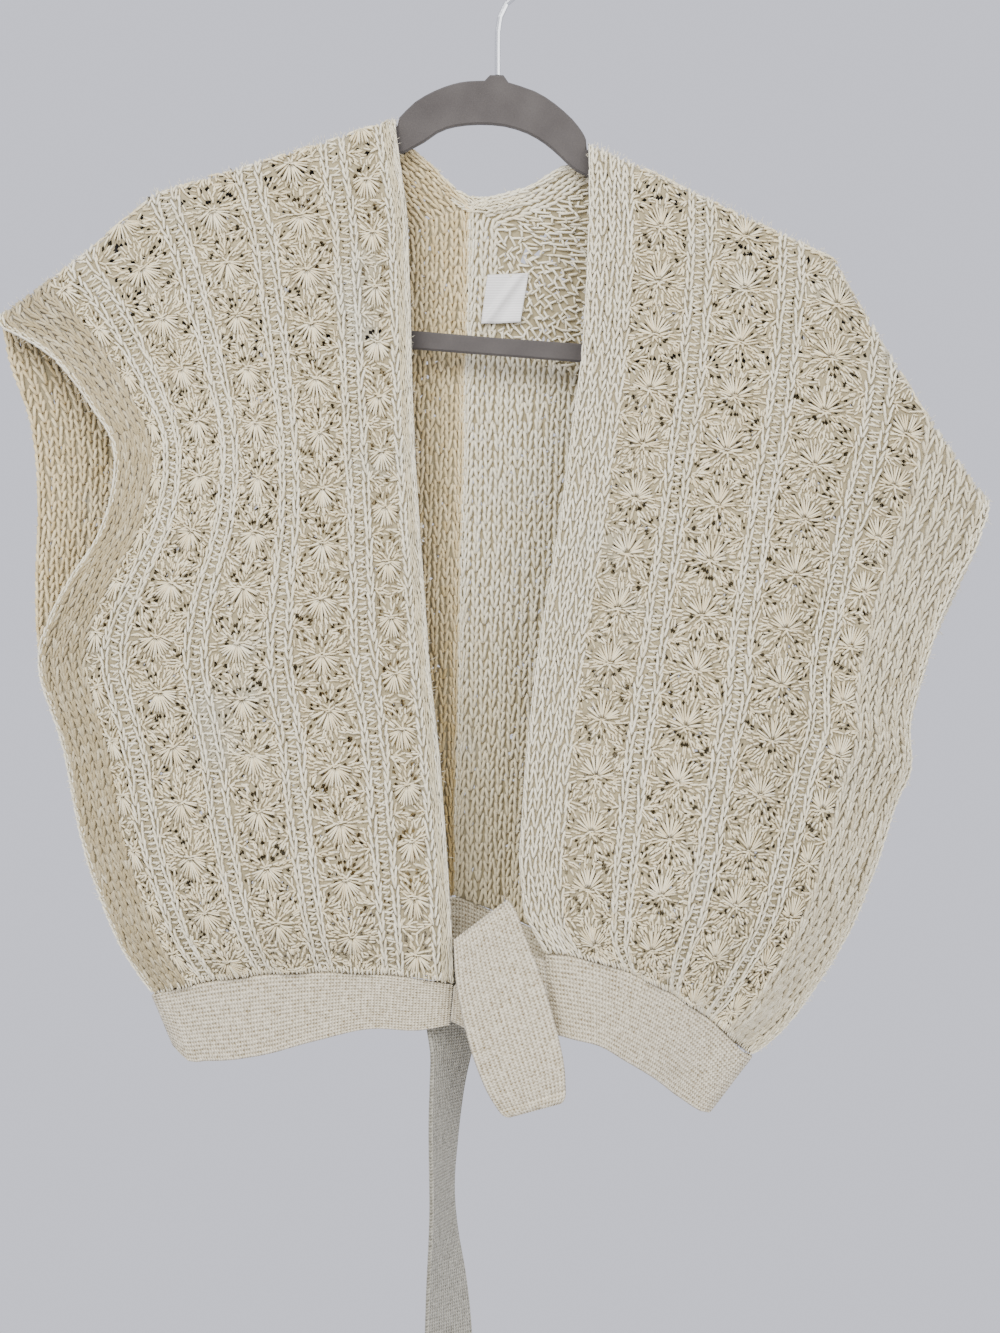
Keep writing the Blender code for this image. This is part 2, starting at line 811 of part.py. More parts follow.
def add_outline(curve, points):
    """Add a closed flat outline to a curve."""
    spline = curve.splines.new("POLY")
    spline.points.add(len(points) - 1)
    for slot, (x, z) in zip(spline.points, points):
        slot.co = (x * MM, z * MM, 0.0, 1.0)
    spline.use_cyclic_u = True


def build_hanger(material, collection):
    """Slim flat hanger: arch, two arms and a bar, with one gap between them."""
    outline = list(reversed(arm_edge(RIGHT_SHOULDER, RIGHT_ARM_END)))
    outline += round_line(ARCH_TOP, 2) + COLLAR + round_line(ARCH_TOP_LEFT, 2)
    outline += arm_edge(LEFT_SHOULDER, LEFT_ARM_END)
    outline += LEFT_TIP + BAR_UNDER + RIGHT_TIP
    curve = bpy.data.curves.new("hanger", "CURVE")
    curve.dimensions = "2D"
    curve.fill_mode = "BOTH"
    curve.extrude = (HANGER_THICK / 2.0 - HANGER_EDGE) * MM
    curve.bevel_depth = HANGER_EDGE * MM
    curve.bevel_resolution = 0
    curve.offset = -HANGER_EDGE * MM
    add_outline(curve, outline)
    add_outline(curve, round_outline(ARM_HOLE, 2))
    curve.materials.append(material)
    thing = bpy.data.objects.new("hanger", curve)
    thing.rotation_euler = (math.radians(90), 0.0, 0.0)
    collection.objects.link(thing)
    return thing


def hook_path():
    """Centre line of the hook's wire, from the collar to its free end."""
    radius = HOOK_INNER + WIRE_RADIUS
    path = [(STEM_X, COLLAR_TOP + GAP), (STEM_X, -72.0)] + STEM_BEND
    for degrees in HOOK_DEGREES:
        angle = math.radians(degrees)
        path.append((radius * math.cos(angle), -HOOK_INNER + radius * math.sin(angle)))
    return path


def build_hook(material, collection):
    """Steel wire hook over the collar."""
    curve = bpy.data.curves.new("hook", "CURVE")
    curve.dimensions = "3D"
    curve.bevel_depth = WIRE_RADIUS * MM
    curve.bevel_resolution = 2
    curve.use_fill_caps = True
    path = hook_path()
    spline = curve.splines.new("POLY")
    spline.points.add(len(path) - 1)
    for slot, (x, z) in zip(spline.points, path):
        slot.co = (x * MM, 0.0, z * MM, 1.0)
    curve.materials.append(material)
    thing = bpy.data.objects.new("hook", curve)
    collection.objects.link(thing)
    return thing


def main():
    """Build every piece of the vest and its hanger."""
    clear_scene()
    parts = make_collection("knit_vest_on_hanger")
    knit = make_material("knit_cream", CREAM, 0.9)
    jersey = make_material("jersey_cream", JERSEY, 0.9)
    satin = make_material("label_white", SATIN_WHITE, 0.5)
    velvet = make_material("hanger_taupe", TAUPE, 0.85)
    steel = make_material("hook_steel", STEEL, 0.25, 1.0)
    right = make_half(
        "right_half", RIGHT_FRONT, RIGHT_SHOULDER, RIGHT_BACK, RIGHT_STITCHES, RIGHT_DRAPES, -1
    )
    left = make_half(
        "left_half", LEFT_FRONT, LEFT_SHOULDER, LEFT_BACK, LEFT_STITCHES, LEFT_DRAPES, 1
    )
    build_half(right, knit, parts)
    build_half(left, knit, parts)
    build_waistband(right, left, jersey, parts)
    build_short_tie(jersey, parts)
    build_knot(jersey, parts)
    build_long_tie(jersey, parts)
    build_label(left, satin, parts)
    build_hanger(velvet, parts)
    build_hook(steel, parts)


main()
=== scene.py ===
"""Looks of an open-knit vest with a tied waistband, hung on a slim flocked hanger.

Metres, +Z up, the front faces -Y and the wearer's left is at +X. The tables and the pattern
spaces are in millimetres. A place on the knit is given by its distance from the half's inner
edge and its height above the hem, both measured along the cloth.
"""

import logging
import math
from collections.abc import Iterator
from dataclasses import dataclass, field
from enum import Enum
from typing import NamedTuple

import bpy
import numpy as np
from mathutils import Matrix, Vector
from mathutils.geometry import delaunay_2d_cdt


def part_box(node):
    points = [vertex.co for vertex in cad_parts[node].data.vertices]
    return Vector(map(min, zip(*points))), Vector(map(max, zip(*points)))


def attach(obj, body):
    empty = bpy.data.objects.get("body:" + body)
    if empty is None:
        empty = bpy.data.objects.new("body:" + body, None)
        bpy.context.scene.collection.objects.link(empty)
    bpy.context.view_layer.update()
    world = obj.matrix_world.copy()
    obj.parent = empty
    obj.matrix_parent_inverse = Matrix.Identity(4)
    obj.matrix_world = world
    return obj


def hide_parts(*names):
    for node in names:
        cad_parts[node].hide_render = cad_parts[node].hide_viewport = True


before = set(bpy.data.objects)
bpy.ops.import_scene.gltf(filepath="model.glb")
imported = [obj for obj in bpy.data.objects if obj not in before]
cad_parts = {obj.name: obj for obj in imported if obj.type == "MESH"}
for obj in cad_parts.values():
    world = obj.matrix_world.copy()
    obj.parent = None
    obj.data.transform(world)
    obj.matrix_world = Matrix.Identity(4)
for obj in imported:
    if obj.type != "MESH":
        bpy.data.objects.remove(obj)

LOG = logging.getLogger("vest")
MM = 0.001
FULL_TURN = 6.283
BODY = "root"
SEED = 20

# Cloth of the halves
GAP = 0.3
PANEL_WIDTH = 236.0
CELL = 2.0
COURSE_STEP = 9.0
FOLD_RADIUS = 6.5
FOLD_TURNS = (-90, -70, -50, -34, -18, 0, 18, 34, 50, 70, 90)
GATHER_DEPTH = 2.4
GATHER_REACH = 110.0
GATHER_MARGIN = 20.0
SHOULDER_PEAK = 0.61
SHOULDER_FALL = 1.3

# Yarn: shades run from 0, deep, to 1, light; the net's low tone is painted shade between the
# strands
NET_TONE = 0.3

# The net is cut flat: the front runs from 0 to the scale, the back on to twice that
NET_SCALE = 500.0
NET_ROW_STEP = 10.0
NET_COLUMNS = 31
NET_LEAST_BEND = 0.02
NET_FOLD_ROWS = (485.0, 495.0, 505.0, 515.0)

# Each column of stars turns through a few charts, each from its own seed
STAR_SEEDS = 7
STAR_KINDS = 3

# Waistband and ties
BAND_THICK = 3.0
BAND_CLEARANCE = GAP + 0.4
BAND_SIDE_TURN = 2.4
BACK_BAND_STEPS = 8
KNOT_THICK = 7.2

# The photograph's view: 600 mm wide at the cloth, seen from 1.6 m
VIEW_DISTANCE = 1.6
VIEW_X = -0.0054
VIEW_Z = -0.4395
LENS_HIGH = 72.0


class Side(Enum):
    """Which half of the wearer a panel covers; the value turns its normals outwards."""

    RIGHT = -1
    LEFT = 1


class Face(Enum):
    """Which part of a half panel a patch is."""

    FRONT = "front"
    BACK = "back"


class Course(NamedTuple):
    """One course of a half panel, from its inner edge to its outer edge."""

    inner_x: float
    inner_z: float
    inner_y: float
    outer_x: float
    outer_z: float
    outer_y: float
    rise: float
    corner: float
    belly: float


class Shoulder(NamedTuple):
    """The line along which a half panel hangs over the hanger's arm."""

    inner_x: float
    inner_z: float
    outer_x: float
    outer_z: float
    rise: float


class Stitches(NamedTuple):
    """Where the lines of stitches run down a half panel, as distances from its inner edge."""

    edge_wales: tuple
    stars: tuple
    pairs: tuple
    armhole_wales: tuple
    repeat: float


class Drape(NamedTuple):
    """A soft trough or ridge that runs down a half panel."""

    at: float
    width: float
    depth: float
    top_z: float
    low_z: float


class BandDrop(NamedTuple):
    """A station on the waistband: where it hangs from the hem, and how it drops."""

    along: float
    drop_x: float
    drop_z: float
    drop_y: float


class Strip(NamedTuple):
    """A cross line of a tie, from its left edge to its right edge."""

    left_x: float
    left_z: float
    left_y: float
    right_x: float
    right_z: float
    right_y: float

    def ends(self) -> tuple[np.ndarray, np.ndarray]:
        """Its left and its right end."""
        left = np.array((self.left_x, self.left_y, self.left_z))
        return left, np.array((self.right_x, self.right_y, self.right_z))


class Turn(NamedTuple):
    """A cross line of the long tie: its middle, and how far it is turned about the vertical."""

    x: float
    y: float
    z: float
    degrees: float
    width: float

    def ends(self) -> tuple[np.ndarray, np.ndarray]:
        """Find the line's ends.

        Returns:
            Its left and its right end.
        """
        angle = math.radians(self.degrees)
        half = np.array((math.cos(angle), math.sin(angle), 0.0)) * self.width / 2.0
        middle = np.array((self.x, self.y, self.z))
        return middle - half, middle + half


class Wale(NamedTuple):
    """A chain of slanted strokes: its width, its height over the wall's middle, its shade."""

    width: float
    lift: float
    tone: float


STRAIGHT_FIELDS = tuple(
    Course._fields.index(name) for name in ("inner_x", "inner_z", "inner_y", "outer_y")
)

# Wearer's right half, hem to shoulder, then neck to hem.
# Columns: inner x z y, outer x z y, rise, corner, belly
RIGHT_FRONT = (
    Course(-33, -625, -38, -213, -635, -1.2, 11, 0.0, -12),
    Course(-34, -594, -38, -234, -602, -1.2, 6, 0.0, -26),
    Course(-37, -547, -35, -254, -547, -1.2, 4, 0.0, -31),
    Course(-41, -495, -31, -266, -488, -1.2, 2, 0.0, -30),
    Course(-47, -442, -27, -281, -437, -1.2, 2, 0.0, -27),
    Course(-50, -400, -25, -267, -398, -12, 2, 0.2, -20),
    Course(-53, -359, -23, -241, -357, -19, 4, 0.4, -13),
    Course(-56, -314, -20, -233, -314, -22, 7, 0.6, -8),
    Course(-58, -269, -17, -247, -286, -18, 12, 0.8, -6),
    Course(-59, -222, -14, -268, -259, -13, 17, 1.0, -4),
    Course(-61, -170, -10, -287, -245, -9, 22, 1.0, -3),
)
RIGHT_SHOULDER = Shoulder(-68, -113, -304, -230, 27)
RIGHT_BACK = (
    Course(-45, -138, 11, -300, -259, 9, 23, 1.0, 4),
    Course(-31, -153, 15, -291, -283, 11, 18, 0.8, 5),
    Course(-24, -159, 17, -286, -309, 12, 13, 0.6, 6),
    Course(-25, -217, 18, -284, -347, 12, 10, 0.4, 6),
    Course(-27, -272, 19, -285, -393, 9, 6, 0.2, 8),
    Course(-28, -332, 19, -281, -437, 1.2, 4, 0.0, 14),
    Course(-30, -399, 18, -266, -488, 1.2, 4, 0.0, 15),
    Course(-31, -466, 17, -254, -547, 1.2, 4, 0.0, 15),
    Course(-33, -532, 15, -234, -602, 1.2, 5, 0.0, 12),
    Course(-33, -578, 14, -213, -635, 1.2, 7, 0.0, 6),
)

# Wearer's left half, whose side hangs lower because the hanger is rolled
LEFT_FRONT = (
    Course(21, -607, -40, 145, -672, -1.2, 15, 0.0, -12),
    Course(9, -585, -39, 168, -651, -1.2, 9, 0.0, -22),
    Course(6, -553, -37, 200, -603, -1.2, 4, 0.0, -30),
    Course(10, -494, -33, 218, -561, -1.2, 4, 0.0, -30),
    Course(15, -447, -30, 231, -521, -1.2, 5, 0.0, -28),
    Course(19, -419, -28, 240, -500, -3, 6, 0.0, -26),
    Course(25, -385, -26, 238, -473, -12, 10, 0.2, -21),
    Course(31, -347, -24, 245, -445, -15, 16, 0.3, -16),
    Course(37, -302, -20, 255, -413, -17, 24, 0.5, -12),
    Course(43, -258, -17, 266, -389, -16, 35, 0.7, -9),
    Course(46, -216, -14, 275, -374, -13, 46, 0.9, -6),
    Course(48, -170, -10, 282, -358, -9, 57, 1.0, -4),
)
LEFT_SHOULDER = Shoulder(48, -127, 286, -341, 62)
LEFT_BACK = (
    Course(31, -138, 11, 282, -366, 9, 60, 1.0, 4),
    Course(10, -150, 15, 271, -392, 11, 48, 0.9, 5),
    Course(-14, -156, 17, 258, -420, 12, 36, 0.8, 6),
    Course(-24, -159, 17, 252, -438, 12, 30, 0.7, 6),
    Course(-25, -217, 18, 245, -461, 10, 21, 0.5, 7),
    Course(-27, -272, 19, 239, -484, 6, 14, 0.3, 9),
    Course(-28, -332, 19, 238, -505, 1.2, 8, 0.1, 12),
    Course(-30, -399, 18, 232, -521, 1.2, 5, 0.0, 15),
    Course(-31, -466, 17, 218, -561, 1.2, 4, 0.0, 15),
    Course(-33, -532, 15, 200, -603, 1.2, 4, 0.0, 13),
    Course(-33, -578, 14, 145, -672, 1.2, 7, 0.0, 6),
)

# Single wales along both edges, columns of stars, and pairs of wales between them
RIGHT_STITCHES = Stitches(
    (9.4,), (18.5, 62.5, 112.5, 162.5), (37.5, 87.5, 137.5, 187.5),
    (208.0, 214.0, 220.0, 226.0, 232.0), 50.0,
)
LEFT_STITCHES = Stitches(
    (3.2, 8.4, 13.6, 18.8, 24.0), (42.0, 93.0, 147.0), (66.0, 120.0, 174.0),
    (201.0, 207.2, 213.4, 219.6, 225.8, 232.0), 54.0,
)

# Rings of points in a strand, and the share of star stitches that give way to a hole
RINGS = {Face.FRONT: 2, Face.BACK: 1}
HOLE_SHARES = {Face.FRONT: 0.36, Face.BACK: 0.1}

# Chains, below the middle of the wall where they lie inside
ARMHOLE_ROPE = Wale(4.6, 1.8, 1.0)
FRONT_ROPE = Wale(3.0, 0.8, 1.0)
BACK_SEAM_WALE = Wale(5.0, 1.4, 0.8)
EDGE_WALE = Wale(5.0, 1.5, 0.8)
PAIR_WALE = Wale(4.9, 1.8, 0.75)
INSIDE_WALE = Wale(5.2, -1.4, 0.55)
ARMHOLE_WIDTH = 6.3
ARMHOLE_LIFT = 1.5
# Tones of the armhole chains: the right half's is deeper, painted shade where the side turns from
# the light
ARMHOLE_PAINTED_SHADE_TONES = {Side.RIGHT: 0.05, Side.LEFT: 0.6}
SEAM_ROPES = {Side.RIGHT: Wale(3.6, -2.4, 0.7), Side.LEFT: Wale(3.6, -2.4, 0.8)}

# How far a pair's chains lie from its middle, and how far each line keeps the stars away
PAIR_SPLIT = 5.5
PAIR_REACH = 8.0
EDGE_REACH = 2.4
ARMHOLE_REACH = 2.6

# Chains on the inside of the back: first and last distance from the seam, and their pitch
INSIDE_AT_FRONT = (3.0, 95.0, 5.7)
INSIDE_AT_ARMHOLE = (190.0, 236.0, 5.6)

# Soft folds: distance from the inner edge, half width, depth, from z, to z
RIGHT_DRAPES = (
    Drape(150, 16, -3.0, -330, -560),
    Drape(196, 14, 3.0, -400, -600),
)
LEFT_DRAPES = (
    Drape(172, 15, -7.0, -320, -560),
    Drape(120, 18, 3.0, -420, -620),
)

# Waistband: share of the hem line, then the drop to the band's lower edge
RIGHT_FRONT_BAND = (
    BandDrop(0.0, -2, -24, 0),
    BandDrop(0.1, -2, -30, 0),
    BandDrop(0.25, -2, -32, 1),
    BandDrop(0.45, -1, -41, 3),
    BandDrop(0.65, 2, -48, 4),
    BandDrop(0.85, 7, -46, 2),
    BandDrop(0.95, 10, -41, 1),
)
RIGHT_SIDE_DROP = BandDrop(1.0, 13, -31, 0)
BACK_BAND_DROP = BandDrop(0.5, 0, -45, -2)
LEFT_SIDE_DROP = BandDrop(1.0, -26, -34, 0)
LEFT_FRONT_BAND = (
    BandDrop(0.85, -25, -41, 2),
    BandDrop(0.65, -16, -47, 4),
    BandDrop(0.45, -8, -50, 3),
    BandDrop(0.25, 0, -49, 1),
    BandDrop(0.1, 4, -49, 0),
    BandDrop(0.0, 5, -47, 0),
)

# Short tie: up from behind the knot, over its slanted fold and down the front
SHORT_TIE = (
    Strip(-27, -643, -44.0, 10, -632, -44.0),
    Strip(-30, -617, -44.0, 5, -599, -44.0),
    Strip(-31, -604, -45.5, 1, -580, -45.5),
    Strip(-32, -600, -48.5, 0, -576, -48.5),
    Strip(-32, -606, -51.5, 3, -580, -51.5),
    Strip(-31, -622, -53.0, 9, -595, -53.5),
    Strip(-27, -644, -54.0, 18, -618, -55.0),
    Strip(-20, -669, -55.0, 27, -648, -56.5),
    Strip(-12, -688, -55.0, 32, -672, -56.5),
    Strip(-3, -702, -54.0, 33, -692, -55.0),
)

# The turn of cloth under the short tie, from band end to band end
KNOT = (
    Strip(-34.4, -647, -38.6, -32.6, -627, -38.6),
    Strip(-22, -653, -38.6, -22, -615, -38.6),
    Strip(-8, -652, -38.6, -8, -603, -38.6),
    Strip(6, -654, -38.6, 6, -606, -38.6),
    Strip(25.4, -653, -38.6, 21.0, -611, -38.6),
)

# Long tie: behind the knot, under the left end of the band, then free, turning as it falls
LONG_TIE = (
    Turn(-20, -33.2, -604, 0, 34),
    Turn(-24, -33.2, -622, 0, 38),
    Turn(-29, -28.5, -637, 12, 40),
    Turn(-31.5, -24.5, -647, 26, 40),
    Turn(-32.5, -21.0, -656, 40, 40),
    Turn(-33.5, -20.0, -665, 51, 40),
    Turn(-36, -21.0, -684, 60, 40),
    Turn(-38, -22.0, -706, 65, 40),
    Turn(-39, -23.0, -727, 69, 40),
    Turn(-39.5, -23.5, -741, 71.5, 40),
    Turn(-39.5, -24.0, -755, 72, 40),
    Turn(-38.8, -25.0, -775, 68, 40),
    Turn(-37.2, -25.5, -800, 58, 40),
    Turn(-36, -26.0, -828, 50, 40),
    Turn(-35.5, -26.0, -866, 45, 40),
    Turn(-35, -26.0, -905, 42, 40),
)

# Blank label inside the back neck: corner x and z, from the top left
LABEL_CORNERS = ((-13, -202), (12, -201), (7, -231), (-17, -232))
# Left, right, low and high of what it hides, and where the loose mesh beside it starts
LABEL_SHADOW = (-13.0, 7.0, -229.5, -204.0)
MESH_INNER = 19.0
MESH_OUTER = 98.0
MESH_LOW = 345.0
MESH_STEP = 3.3
MESH_RISE = 3.6

# Neck line at the back, x and z, and how far back it lies
NECK_LINE = (
    (-52, -131), (-41, -141.5), (-31, -150.5), (-24, -154.5), (-14, -155), (0, -152), (12, -149),
)
NECK_DEPTH = 15.5
NECK_ROWS = 5
NECK_PITCH = 2.6
NECK_ROW_STEP = 2.1

# Rolled edge of the right front: from, to and number of its lines of fibres, and their pitch
ROLL_LINES = (-0.2, 6.6, 11)
ROLL_PITCH = 6.5
ROLL_BRIGHT = 2.8


def blend(
    low: float | np.ndarray, high: float | np.ndarray, share: float | np.ndarray
) -> float | np.ndarray:
    """Value between two, by share."""
    return low + (high - low) * share


def smooth_step(share: np.ndarray | float) -> np.ndarray:
    """Ease from 0 to 1."""
    share = np.clip(share, 0.0, 1.0)
    return share * share * (3.0 - 2.0 * share)


def spline_value(before: float, start: float, end: float, after: float, share: float) -> float:
    """Catmull-Rom value between two.

    Args:
        before: Value before the start.
        start: Value at a share of 0.
        end: Value at a share of 1.
        after: Value after the end.
        share: How far from start to end.

    Returns:
        The value.
    """
    square = share * share
    cube = square * share
    return 0.5 * (
        2.0 * start
        + (end - before) * share
        + (2.0 * before - 5.0 * start + 4.0 * end - after) * square
        + (3.0 * start - before - 3.0 * end + after) * cube
    )


def bow(along: np.ndarray | float) -> np.ndarray | float:
    """An even bow, 0 at both edges and 1 in the middle."""
    return 4.0 * along * (1.0 - along)


def tent(along: np.ndarray | float) -> np.ndarray:
    """Height of a course that bends where the arm of the hanger ends.

    Args:
        along: Shares of the way from the inner edge.

    Returns:
        Heights from 0 to 1.
    """
    along = np.asarray(along, dtype=float)
    falling = np.clip((1.0 - along) / (1.0 - SHOULDER_PEAK), 0.0, None) ** SHOULDER_FALL
    return np.where(along < SHOULDER_PEAK, along / SHOULDER_PEAK, falling)


def polyline_lengths(points: np.ndarray) -> np.ndarray:
    """Distance travelled along a line of points, 0 at the first."""
    return np.concatenate([[0.0], np.cumsum(np.linalg.norm(np.diff(points, axis=0), axis=1))])


def unit(vectors: np.ndarray) -> np.ndarray:
    """Vectors along the last axis, at length 1."""
    length = np.linalg.norm(vectors, axis=-1, keepdims=True)
    return vectors / np.maximum(length, 1e-9)


def linear(code: str) -> tuple[float, float, float, float]:
    """Turn an sRGB hex colour into Blender's linear one.

    Args:
        code: Six hex digits after a #.

    Returns:
        Red, green, blue and an alpha of 1.
    """
    channels = []
    for start in (1, 3, 5):
        value = int(code[start:start + 2], 16) / 255.0
        channels.append(value / 12.92 if value <= 0.04045 else ((value + 0.055) / 1.055) ** 2.4)
    return (channels[0], channels[1], channels[2], 1.0)


def wire(
    material: bpy.types.Material, node: bpy.types.Node, settings: dict, links: dict
) -> None:
    """Give a node of a material its settings and what feeds it.

    Args:
        material: The material.
        node: Its node.
        settings: Node properties by name, and socket values by socket name or number.
        links: Output sockets by the input name or number that each one feeds.
    """
    for key, value in settings.items():
        if isinstance(key, str) and hasattr(node, key) and key not in node.inputs:
            setattr(node, key, value)
        else:
            node.inputs[key].default_value = value
    for key, output in links.items():
        material.node_tree.links.new(output, node.inputs[key])


def add_node(
    material: bpy.types.Material, kind: str, settings: dict | None = None,
    links: dict | None = None, give: int | str = 0,
) -> bpy.types.NodeSocket:
    """Add one node to a material, with its settings and what feeds it.

    Args:
        material: The material that gets the node.
        kind: The node's type name, without its ShaderNode prefix.
        settings: As wire takes them.
        links: As wire takes them.
        give: Name or number of the output that is wanted.

    Returns:
        That output.
    """
    node = material.node_tree.nodes.new("ShaderNode" + kind)
    wire(material, node, settings or {}, links or {})
    return node.outputs[give]


def start_material(name: str) -> tuple[bpy.types.Material, bpy.types.Node]:
    """Start a material.

    Args:
        name: Name of the material.

    Returns:
        The material and its shader.
    """
    material = bpy.data.materials.new(name)
    material.use_nodes = True
    return material, material.node_tree.nodes["Principled BSDF"]


def mesh_piece(name: str, points: np.ndarray, faces: np.ndarray) -> bpy.types.Object:
    """Make an object from arrays, with its points in millimetres.

    Args:
        name: Name of the piece.
        points: Points, one a row.
        faces: Corner indices, three or four a row.

    Returns:
        The object, shaded smooth and linked to the scene.
    """
    mesh = bpy.data.meshes.new(name)
    corners = faces.shape[1]
    mesh.vertices.add(len(points))
    mesh.vertices.foreach_set("co", (points * MM).astype(np.float32).ravel())
    mesh.loops.add(faces.size)
    mesh.loops.foreach_set("vertex_index", faces.astype(np.int32).ravel())
    mesh.polygons.add(len(faces))
    mesh.polygons.foreach_set("loop_start", np.arange(0, faces.size, corners, dtype=np.int32))
    mesh.update(calc_edges=True)
    mesh.shade_smooth()
    piece = bpy.data.objects.new(name, mesh)
    bpy.context.scene.collection.objects.link(piece)
    return piece


def set_tone(piece: bpy.types.Object, tones: np.ndarray) -> None:
    """Store a shade from 0 to 1 at each point, for the finish to read.

    Args:
        piece: A mesh object.
        tones: One value a point.
    """
    layer = piece.data.attributes.new("tone", "FLOAT", "POINT")
    layer.data.foreach_set("value", tones.astype(np.float32))


def dress(piece: bpy.types.Object, materials: list[bpy.types.Material]) -> None:
    """Give a piece its finish and the body that it rides on, and log its faces.

    Args:
        piece: The piece.
        materials: Its materials, in slot order.
    """
    piece.data.materials.clear()
    for material in materials:
        piece.data.materials.append(material)
    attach(piece, BODY)
    LOG.info("%s: %d faces", piece.name, len(piece.data.polygons))


@dataclass(frozen=True)
class KnitYarn:
    """Brushed acrylic and wool yarn, dyed cream: soft, matt, with a slight halo of fibres."""

    name: str = "acrylic_wool_yarn"
    light: str = "#FCF1D0"
    deep: str = "#DDCA98"
    cool: str = "#DFE3DC"
    roughness: float = 0.86
    sheen: float = 0.25
    ply_mm: float = 1.4
    cool_share: float = 0.0

    def build(self) -> bpy.types.Material:
        """Build the yarn's material.

        Returns:
            A material whose shade follows each strand's stored tone and slow stains.
        """
        material, shader = start_material(self.name)
        place = add_node(material, "TexCoord", give="Object")
        tone = add_node(material, "Attribute", {"attribute_name": "tone"}, give="Fac")
        wash = add_node(
            material, "TexNoise", {"Scale": 1.0 / (60.0 * MM), "Detail": 2.0}, {"Vector": place}
        )
        # Twisted plies show as fine slanting lines, drawn a little coarser than they are
        ply = add_node(
            material, "TexNoise", {"Scale": 1.0 / (self.ply_mm * MM), "Detail": 3.0},
            {"Vector": place},
        )
        cream = add_node(
            material, "Mix", {"data_type": "RGBA", 6: linear(self.deep), 7: linear(self.light)},
            {0: tone}, give=2,
        )
        patch = add_node(
            material, "MapRange",
            {"From Min": 0.6 - 0.3 * self.cool_share, "From Max": 0.85, "To Max": 0.36},
            {"Value": wash},
        )
        colour = add_node(
            material, "Mix", {"data_type": "RGBA", 7: linear(self.cool)}, {0: patch, 6: cream},
            give=2,
        )
        bump = add_node(material, "Bump", {"Strength": 0.5, "Distance": 0.4 * MM}, {"Height": ply})
        wire(
            material, shader,
            {"Roughness": self.roughness, "Sheen Weight": self.sheen, "Sheen Roughness": 0.5},
            {"Base Color": colour, "Normal": bump},
        )
        return material


@dataclass
class KnitFinishes:
    """Copies of one yarn as they lie outside, inside and deep in the knit, darker or lighter with
    painted shade and painted light.
    """

    yarn: bpy.types.Material
    chain: bpy.types.Material
    warm: bpy.types.Material
    pale: bpy.types.Material
    side: bpy.types.Material
    ground: bpy.types.Material
    shade: bpy.types.Material

    @classmethod
    def make(cls) -> "KnitFinishes":
        """Build the materials."""
        return cls(
            yarn=KnitYarn().build(),
            chain=KnitYarn(
                "acrylic_wool_chain", light="#F8F0D6", deep="#D8CAA2", cool_share=0.05
            ).build(),
            # Inside of the back: a darker copy, painted shade, on the right half and a lighter
            # copy, painted light, on the left
            warm=KnitYarn("acrylic_wool_inside_painted_shade", light="#F7E4B4", deep="#C8AE74").build(),
            pale=KnitYarn("acrylic_wool_inside_painted_light", light="#FFF7DC", deep="#E6D7AE").build(),
            # Armhole side, turned from the light: a darker copy, painted shade
            side=KnitYarn("acrylic_wool_side_painted_shade", light="#F4EBCE", deep="#B2A27A").build(),
            # Net between the strands and its inner layer: darker copies, painted shade in the
            # knit's depths
            ground=KnitYarn("acrylic_wool_ground", light="#BEB38F", deep="#918463").build(),
            shade=KnitYarn("acrylic_wool_shade", light="#A4946C", deep="#786847").build(),
        )


@dataclass(frozen=True)
class JerseyYarn:
    """Fine machine-knitted jersey of the same yarn: columns of small Vs, 2 mm apart."""

    name: str = "fine_jersey"
    light: str = "#F3E8CB"
    # Deep is the painted shade in the grooves between the stitches
    deep: str = "#7F6C44"
    column_mm: float = 2.1
    stitch_mm: float = 1.9

    def build(self) -> bpy.types.Material:
        """Build the jersey's material, its stitches laid out by the piece's UV map in metres.

        Returns:
            The material.
        """
        material, shader = start_material(self.name)
        uv = add_node(material, "UVMap")
        split = add_node(material, "SeparateXYZ", {}, {0: uv}).node.outputs
        column = add_node(
            material, "Math", {"operation": "MULTIPLY", 1: 1.0 / (self.column_mm * MM)},
            {0: split["Y"]},
        )
        swing = add_node(material, "Math", {"operation": "PINGPONG", 1: 0.5}, {0: column})
        row = add_node(
            material, "Math", {"operation": "MULTIPLY", 1: 1.0 / (self.stitch_mm * MM)},
            {0: split["X"]},
        )
        slant = add_node(material, "Math", {"operation": "ADD"}, {0: row, 1: swing})
        wave = add_node(material, "Math", {"operation": "PINGPONG", 1: 0.5}, {0: slant})
        round_column = add_node(material, "Math", {"operation": "MULTIPLY", 1: 0.9}, {0: swing})
        height = add_node(material, "Math", {"operation": "ADD"}, {0: wave, 1: round_column})
        place = add_node(material, "TexCoord", give="Object")
        fluff = add_node(
            material, "TexNoise", {"Scale": 1.0 / (2.2 * MM), "Detail": 4.0}, {"Vector": place}
        )
        rough = add_node(
            material, "Math", {"operation": "MULTIPLY_ADD", 1: 1.3}, {0: fluff, 2: height}
        )
        # Colour follows the stitch relief and the fluff: painted shade in the grooves between
        # columns and Vs
        shade = add_node(
            material, "MapRange", {"From Min": 0.6, "From Max": 1.45}, {"Value": rough}
        )
        colour = add_node(
            material, "Mix", {"data_type": "RGBA", 6: linear(self.deep), 7: linear(self.light)},
            {0: shade}, give=2,
        )
        bump = add_node(
            material, "Bump", {"Strength": 1.0, "Distance": 0.8 * MM}, {"Height": rough}
        )
        wire(
            material, shader, {"Roughness": 0.9, "Sheen Weight": 0.25},
            {"Base Color": colour, "Normal": bump},
        )
        return material


